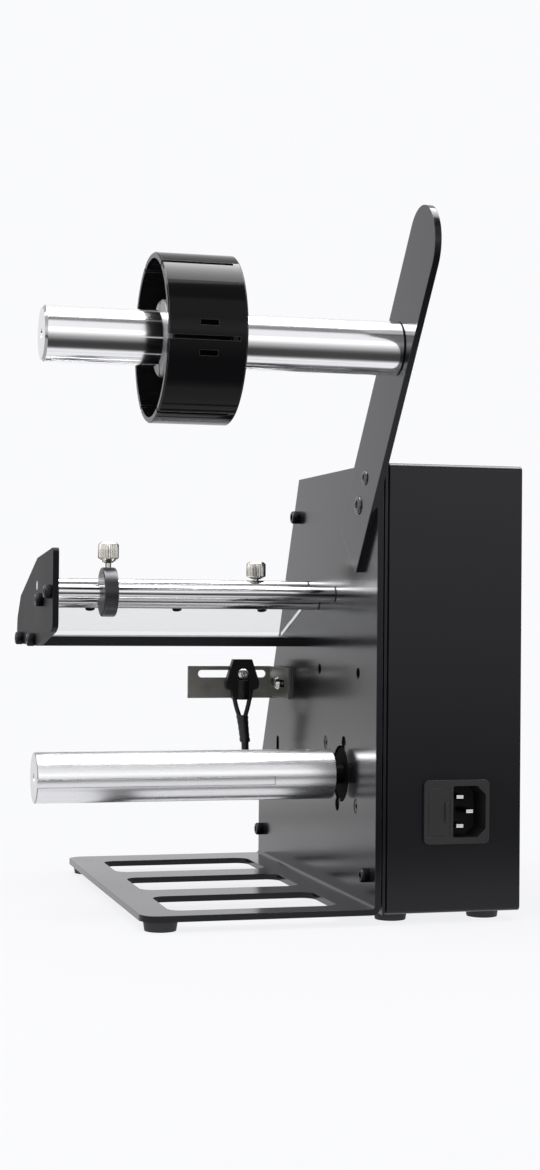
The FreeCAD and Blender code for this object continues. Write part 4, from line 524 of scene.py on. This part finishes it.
def hexagon(shape, key, floor, widen=1.06):
    """Widens the round hole above a floor to a hexagon socket, by moving its points."""
    for point in shape.verts:
        flat = math.hypot(point.co.x, point.co.y)
        if point.co.z > floor and 0.0001 < flat < key + 0.00005:
            corner = math.atan2(point.co.y, point.co.x) % (math.pi / 3) - math.pi / 6
            point.co.x *= math.cos(math.pi / 6) / math.cos(corner) * widen
            point.co.y *= math.cos(math.pi / 6) / math.cos(corner) * widen


def settle(shape, place, *turns):
    """Turns a shape about the origin, by pairs of angle and axis, and moves it to its place."""
    for angle, axis in turns:
        bmesh.ops.rotate(shape, cent=(0, 0, 0), matrix=Matrix.Rotation(angle, 3, axis), verts=shape.verts)
    bmesh.ops.translate(shape, vec=place, verts=shape.verts)


rim_oxide = plated("rubbed_oxide", (0.085, 0.085, 0.090), 0.28, grain=1200.0, edge=0.0004)
for node in ("arm_screw_lower", "arm_screw_upper"):
    lowest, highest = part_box(node)
    middle = (lowest + highest) / 2
    wide = (highest.z - lowest.z) / 2
    tall, key, stem = wide * 0.24, wide * 0.50, wide * 0.52
    dome = [(wide * reach, tall * height) for reach, height in
            ((1.0, 0.0), (1.0, 0.14), (0.985, 0.42), (0.93, 0.60), (0.88, 0.62), (0.80, 0.86),
             (0.66, 0.98))]
    shape = spun([(0, -arm_shank), (stem, -arm_shank), (stem, -0.00001), *dome, (key + 0.00025, tall),
                  (key, tall - 0.0002), (key, tall * 0.3), (0, tall * 0.2)], 60)
    hexagon(shape, key, tall * 0.25)
    settle(shape, (plate_x - arm_thick, middle.y, middle.z), (-math.pi / 2, "Y"))
    head = smooth(add_piece(node + "_head", shape, rim_oxide), 30.0)
    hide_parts(node)
    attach(head, "frame")

# The housing and the end plate are held by socket cap screws of blackened steel. Their round
# heads are finely knurled, and the free ends of their threads show behind.
cap_radius, cap_tall, cap_key, cap_thread = 0.00343, 0.0039, 0.00165, 0.00196
cap_rows, cap_groove, screw_apart, end_plate_x = 72, 0.00016, 0.0075, -0.0988


def knurl(shape, low, high, radius, rows, depth):
    """Pulls in every second row of points between two heights, as a knurling wheel does."""
    for point in shape.verts:
        flat = Vector((point.co.x, point.co.y))
        if low < point.co.z < high and flat.length > radius - 0.00002:
            if round(math.atan2(flat.y, flat.x) / (2 * math.pi / rows)) % 2:
                point.co.x *= 1 - depth / radius
                point.co.y *= 1 - depth / radius


def centres(node, count):
    """The middles in y and z of a node's separate screws, found from its own points."""
    groups = []
    for vertex in nodes[node].data.vertices:
        spot = (vertex.co.y, vertex.co.z)
        for group in groups:
            if math.dist(spot, group[0]) < screw_apart:
                group.append(spot)
                break
        else:
            groups.append([spot])
    assert len(groups) == count, (node, len(groups))
    return [[(min(side) + max(side)) / 2 for side in zip(*group)] for group in groups]


for name, node, count, face_x, shank in (
        ("housing_cap_screws", "housing_screws", 3, plate_x, 0.0119),
        ("end_plate_cap_screws", "end_plate_screws", 4, end_plate_x, 0.0118)):
    whole = bmesh.new()
    for y, z in centres(node, count):
        shape = spun([(0, -shank), (cap_thread, -shank), (cap_thread, -0.00001),
                      (cap_radius - 0.0002, 0.0), (cap_radius, 0.0003), (cap_radius, cap_tall - 0.0007),
                      (cap_radius - 0.0006, cap_tall), (cap_key + 0.0002, cap_tall),
                      (cap_key, cap_tall - 0.0002), (cap_key, cap_tall - 0.0020), (0, cap_tall - 0.0026)],
                     cap_rows)
        knurl(shape, 0.0002, cap_tall - 0.0006, cap_radius, cap_rows, cap_groove)
        hexagon(shape, cap_key, cap_tall - 0.0021)
        settle(shape, (face_x, y, z), (-math.pi / 2, "Y"))
        part = bpy.data.meshes.new("cap_head")
        shape.to_mesh(part)
        shape.free()
        whole.from_mesh(part)
        bpy.data.meshes.remove(part)
    heads = smooth(add_piece(name, whole, black_oxide), 30.0)
    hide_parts(node)
    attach(heads, "frame")

# The clear plate over the table is cut acrylic sheet with polished faces and sawn edges. Three
# small screws with low heads hold it to the front rod.
acrylic = finish("clear_acrylic", (0.97, 0.98, 0.985), 0.03, Transmission_Weight=1.0, IOR=1.18)
sawn = acrylic.soft_edge(0.0004)
coat(acrylic.feed(Roughness=acrylic.worn(sawn) * 0.25 + acrylic.noise(60.0) * 0.03 + 0.01), "clear_plate")

# The web guide is a turned collar with a charcoal coat. It slides along the peel unit's rods to
# suit the width of the labels, and its thumbscrew holds it there.
coat(powder_coat("collar_charcoal", (0.015, 0.015, 0.0165), 0.34, edge=0.0005, shine=0.4), "guide_collar")

# Two nickel-plated thumbscrews, knurled round their barrels, chamfered at the top and coned
# below, one in the guide collar and one in the front rod.
nickel = finish("knurled_nickel", (0.62, 0.60, 0.57), 0.24, 1.0)
knob_edge = nickel.soft_edge(0.00015)
stain = nickel.noise(420.0)
bright_nickel = nickel.feed(Base_Color=nickel.mix(stain, (0.66, 0.64, 0.60), (0.46, 0.44, 0.41)),
                            Roughness=stain * 0.16 + 0.16,
                            Normal=nickel.bump(nickel.noise(2200.0), 0.00001, knob_edge))
knob_radius, knob_thread, knob_neck, knob_rows, knob_groove = 0.0052, 0.00146, 0.0024, 64, 0.00036
for name, node, stem, cone_tall, barrel_tall, drop, depth in (
        ("guide_knob", "guide_thumbscrew", 0.0022, 0.0020, 0.0084, 0.0, 0.0080),
        ("front_knob", "front_thumbscrew", 0.0004, 0.0012, 0.0082, 0.0010, 0.0041)):
    lowest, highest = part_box(node)
    middle = (lowest + highest) / 2
    cone_top, top = stem + cone_tall, stem + cone_tall + barrel_tall
    shape = spun([(0, -depth), (knob_thread, -depth), (knob_thread, stem), (knob_neck, stem),
                  (knob_radius - 0.0005, cone_top), (knob_radius, cone_top + 0.0005),
                  (knob_radius, (cone_top + top) / 2), (knob_radius, top - 0.0016),
                  (knob_radius - 0.0003, top - 0.0009), (knob_radius - 0.0009, top - 0.0003),
                  (knob_radius - 0.0016, top), (0.0030, top - 0.0001), (0.0027, top - 0.0004),
                  (0, top - 0.0005)], knob_rows)
    knurl(shape, cone_top + 0.0001, top - 0.0012, knob_radius, knob_rows, knob_groove)
    settle(shape, (middle.x, middle.y, highest.z - top - drop))
    knob = smooth(add_piece(name, shape, bright_nickel), 20.0)
    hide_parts(node)
    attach(knob, node)

# The sensor's bracket is a bent strip of bare steel, sheared and punched with long slots. Its mill
# grain runs along it, and it is a little stained.
strip = finish("bare_steel", (0.30, 0.295, 0.275), 0.36, 1.0)
strip_edge = strip.soft_edge(0.0003)
grain = strip.noise(1.0, (60, 900, 2600), detail=3.0)
stained = strip.step(strip.noise(55.0), 0.45, 0.75)
coat(strip.feed(Base_Color=strip.mix(stained, (0.18, 0.177, 0.165), (0.13, 0.124, 0.112)),
                Roughness=grain * 0.22 + 0.26,
                Normal=strip.bump(grain, 0.00002, strip_edge, strength=0.6)), "sensor_bracket")

# The sensor's head is moulded nylon, and the cable's clip behind the side plate is the same. A
# zinc-plated pan head screw with a cross recess holds the head to the bracket.
coat(moulded("sensor_nylon", (0.0035, 0.0035, 0.004), 0.42, grain=1800.0, depth=0.00005, edge=0.0004,
             shine=0.2), "sensor_head", "cable_clip")
screw_low, screw_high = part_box("sensor_screw")
screw_middle = (screw_low + screw_high) / 2
pan_wide = (screw_high.z - screw_low.z) / 2 * 1.12
pan_tall = pan_wide * 0.62
pan_foot = pan_tall - (screw_high.y - screw_low.y)
cross_half_angle, cross_middle, cross_deep, cross_turn = 9.0, pan_wide * 0.1, pan_tall * 0.55, 0.5
rounding = [(pan_wide * reach, pan_tall * height) for reach, height in
            ((0.97, 0), (1, 0.35), (0.93, 0.68), (0.78, 0.88), (0.56, 0.98), (0.54, 1), (0.2, 1), (0, 1))]
pan = spun([(0, pan_foot), (pan_wide * 0.5, pan_foot), (pan_wide * 0.5, -0.00001), *rounding], 48)
for point in pan.verts:
    off_centre = math.hypot(point.co.x, point.co.y)
    off_blade = (math.degrees(math.atan2(point.co.y, point.co.x)) + 45) % 90 - 45
    if point.co.z > pan_tall * 0.99 and (off_centre < cross_middle or abs(off_blade) < cross_half_angle):
        point.co.z -= cross_deep
settle(pan, (screw_middle.x, screw_low.y + pan_tall, screw_middle.z), (math.pi / 2, "X"), (cross_turn, "Y"))
pan_screw = smooth(add_piece("sensor_pan_screw", pan, bright_zinc), 25.0)
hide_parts("sensor_screw")
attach(pan_screw, "sensor")

# The mains inlet and its fuse drawer are satin moulded plastic in the housing's rear. The bezel has
# rounded corners and is clipped in; the socket's recess is matt, with painted shade that makes it much
# darker than the face. Its flat pins are tinned, with chamfered tips, bright in front, with painted
# shade darkening them near the root.
inlet_low, inlet_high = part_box("mains_inlet")
inlet = finish("inlet_satin", (0.012, 0.012, 0.0125), 0.33)
inlet_edge = inlet.soft_edge(0.0003)
# Painted shade: the socket's recess is darkened with depth.
well_shade = inlet.step(inlet.along(1), inlet_low.y + 0.0020, inlet_low.y + 0.0036)
inlet_cloud = inlet.noise(40.0)
inlet_satin = inlet.feed(Base_Color=inlet.mix(well_shade, (0.0125, 0.0125, 0.0135), (0.0012, 0.0012, 0.0012)),
                         Roughness=inlet_cloud * 0.14 + well_shade * 0.4 + 0.26,
                         Normal=inlet.bump(inlet.noise(2400.0), 0.00002, inlet_edge))
coat(inlet_satin, "fuse_drawer")

middle_x, middle_z = (inlet_low.x + inlet_high.x) / 2, (inlet_low.z + inlet_high.z) / 2
well_right = inlet_high.x - 0.0019
well_half, well_wide, well_cut = 0.01245, 0.0166, 0.0042
window_left, window_right, window_half = inlet_low.x + 0.00215, inlet_low.x + 0.01305, 0.01165
face_thick, body_deep, well_deep, window_deep = 0.0018, 0.026, 0.0165, 0.0245
face_outline = [(inlet_low.x, inlet_low.z), (inlet_high.x, inlet_low.z), (inlet_high.x, inlet_high.z),
                (inlet_low.x, inlet_high.z)]
well_left, cut_x, cut_z = well_right - well_wide, well_right - well_cut, well_half - well_cut
well_outline = [(well_left, middle_z - well_half), (well_left, middle_z + well_half),
                (cut_x, middle_z + well_half), (well_right, middle_z + cut_z),
                (well_right, middle_z - cut_z), (cut_x, middle_z - well_half)]
window_outline = [(window_left, middle_z - window_half), (window_right, middle_z - window_half),
                  (window_right, middle_z + window_half), (window_left, middle_z + window_half)]
bezel = bmesh.new()
for corners, rounds, radius in ((face_outline, 4, 0.0024), (well_outline, 2, 0.0009),
                                (window_outline, 0, 0)):
    points = [bezel.verts.new((x, inlet_low.y, z)) for x, z in corners]
    bezel.faces.new(points)
    if rounds:
        bmesh.ops.bevel(bezel, geom=points[:rounds], offset=radius, segments=4, profile=0.5, material=-1,
                        affect="VERTICES")
bezel.faces.ensure_lookup_table()
loops = [list(face.edges) for face in bezel.faces]
bmesh.ops.delete(bezel, geom=list(bezel.faces), context="FACES_ONLY")
bmesh.ops.triangle_fill(bezel, edges=[edge for loop in loops for edge in loop], use_beauty=True)


def pull(shape, edges, move):
    """Extrudes an open edge loop, and gives its new edges and points."""
    made = bmesh.ops.extrude_edge_only(shape, edges=edges)["geom"]
    points = [part for part in made if isinstance(part, bmesh.types.BMVert)]
    bmesh.ops.translate(shape, vec=move, verts=points)
    return [part for part in made if isinstance(part, bmesh.types.BMEdge)], points


loops.sort(key=lambda loop: -max(edge.verts[0].co.x for edge in loop))
rim = pull(bezel, loops[0], (0, face_thick, 0))[0]
rim, rim_points = pull(bezel, rim, (0, 0, 0))
about = Matrix.Translation((-middle_x, 0, -middle_z))
bmesh.ops.scale(bezel, vec=(0.893, 1, 0.884), space=about, verts=rim_points)
backs = [pull(bezel, loop, (0, deep, 0))[0] for loop, deep in
         ((rim, body_deep), (loops[1], well_deep), (loops[2], window_deep))]
for back in backs:
    bmesh.ops.edgeloop_fill(bezel, edges=back)
bmesh.ops.recalc_face_normals(bezel, faces=bezel.faces)
inlet_bezel = add_piece("inlet_bezel", bezel, inlet_satin)
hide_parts("mains_inlet")
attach(inlet_bezel, "frame")

pin_low, pin_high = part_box("inlet_pins")
pin_wide, pin_thick, pin_tip = 0.0040, 0.0020, 0.0006
tin = (0.95, 0.95, 0.93)
pins = finish("tinned_brass", tin, 0.30, 1.0)
# Painted shade: the pins darken towards their root inside the socket.
root_shade = pins.step(pins.along(1), pin_low.y + 0.0001, pin_low.y + 0.0005)
pin_metal = pins.feed(Base_Color=pins.mix(root_shade, tin, (0.05, 0.048, 0.044)),
                      Roughness=pins.noise(600.0) * 0.2 + 0.2)
blades = bmesh.new()
for left, up in ((0.0124, -0.007), (0.0124, 0.007), (0.0074, 0.0)):
    blade = bmesh.ops.create_cube(blades, size=1.0)["verts"]
    bmesh.ops.scale(blades, vec=(pin_wide, pin_high.y - pin_low.y, pin_thick), verts=blade)
    bmesh.ops.translate(blades, vec=(well_right - left, (pin_low.y + pin_high.y) / 2, middle_z + up),
                        verts=blade)
tips = [edge for edge in blades.edges if max(point.co.y for point in edge.verts) < pin_low.y + 0.001]
bmesh.ops.bevel(blades, geom=tips, offset=pin_tip, segments=2, profile=0.5, material=-1, affect="EDGES")
inlet_blades = add_piece("inlet_blades", blades, pin_metal)
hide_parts("inlet_pins")
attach(inlet_blades, "frame")

# The controls on the slanted front: a fluted knob on the speed control's spindle, satin, and a
# rocker switch that is clipped into its case, glossier. All are moulded plastic.
coat(moulded("dial_satin", (0.014, 0.014, 0.015), 0.40, edge=0.0005), "speed_dial")
coat(moulded("switch_gloss", (0.012, 0.012, 0.0125), 0.24, grain=2600.0, depth=0.00001, edge=0.0004),
     "switch_case", "rocker")

# Inside the housing: the geared motor, the speed control board on its pillars, the transformer
# and the fuse in its drawer.
coat(powder_coat("cast_black", (0.006, 0.006, 0.0065), 0.6, edge=0.0008, shine=0.01), "gearbox")
coat(plated("cast_alloy", (0.42, 0.42, 0.43), 0.48, grain=260.0, edge=0.0008), "potentiometer")
coat(plated("motor_can", (0.46, 0.46, 0.47), 0.30, grain=700.0, edge=0.0008), "motor")
board = finish("board_green", (0.02, 0.11, 0.05), 0.35)
tracks = board.step(board.noise(190.0, detail=1.0), 0.48, 0.54)
coat(board.feed(Base_Color=board.mix(tracks, (0.015, 0.09, 0.04), (0.03, 0.15, 0.07)),
                Roughness=tracks * 0.15 + 0.28), "control_board")
layers = finish("varnished_core", (0.08, 0.07, 0.06), 0.42, 0.5)
plates = layers.noise(1.0, (2200, 4, 4), detail=1.0)
coat(layers.feed(Base_Color=layers.mix(plates, (0.05, 0.045, 0.04), (0.12, 0.105, 0.09)),
                 Roughness=plates * 0.2 + 0.3,
                 Normal=layers.bump(plates, 0.0001, strength=0.5)), "transformer")
glass = finish("fuse_glass", (0.92, 0.94, 0.95), 0.04, Transmission_Weight=1.0)
coat(glass.feed(Roughness=glass.noise(300.0) * 0.05 + 0.01), "fuse")
coat(moulded("pillar_nylon", (0.55, 0.54, 0.50), 0.45, grain=1200.0, depth=0.00003), "board_pillars")
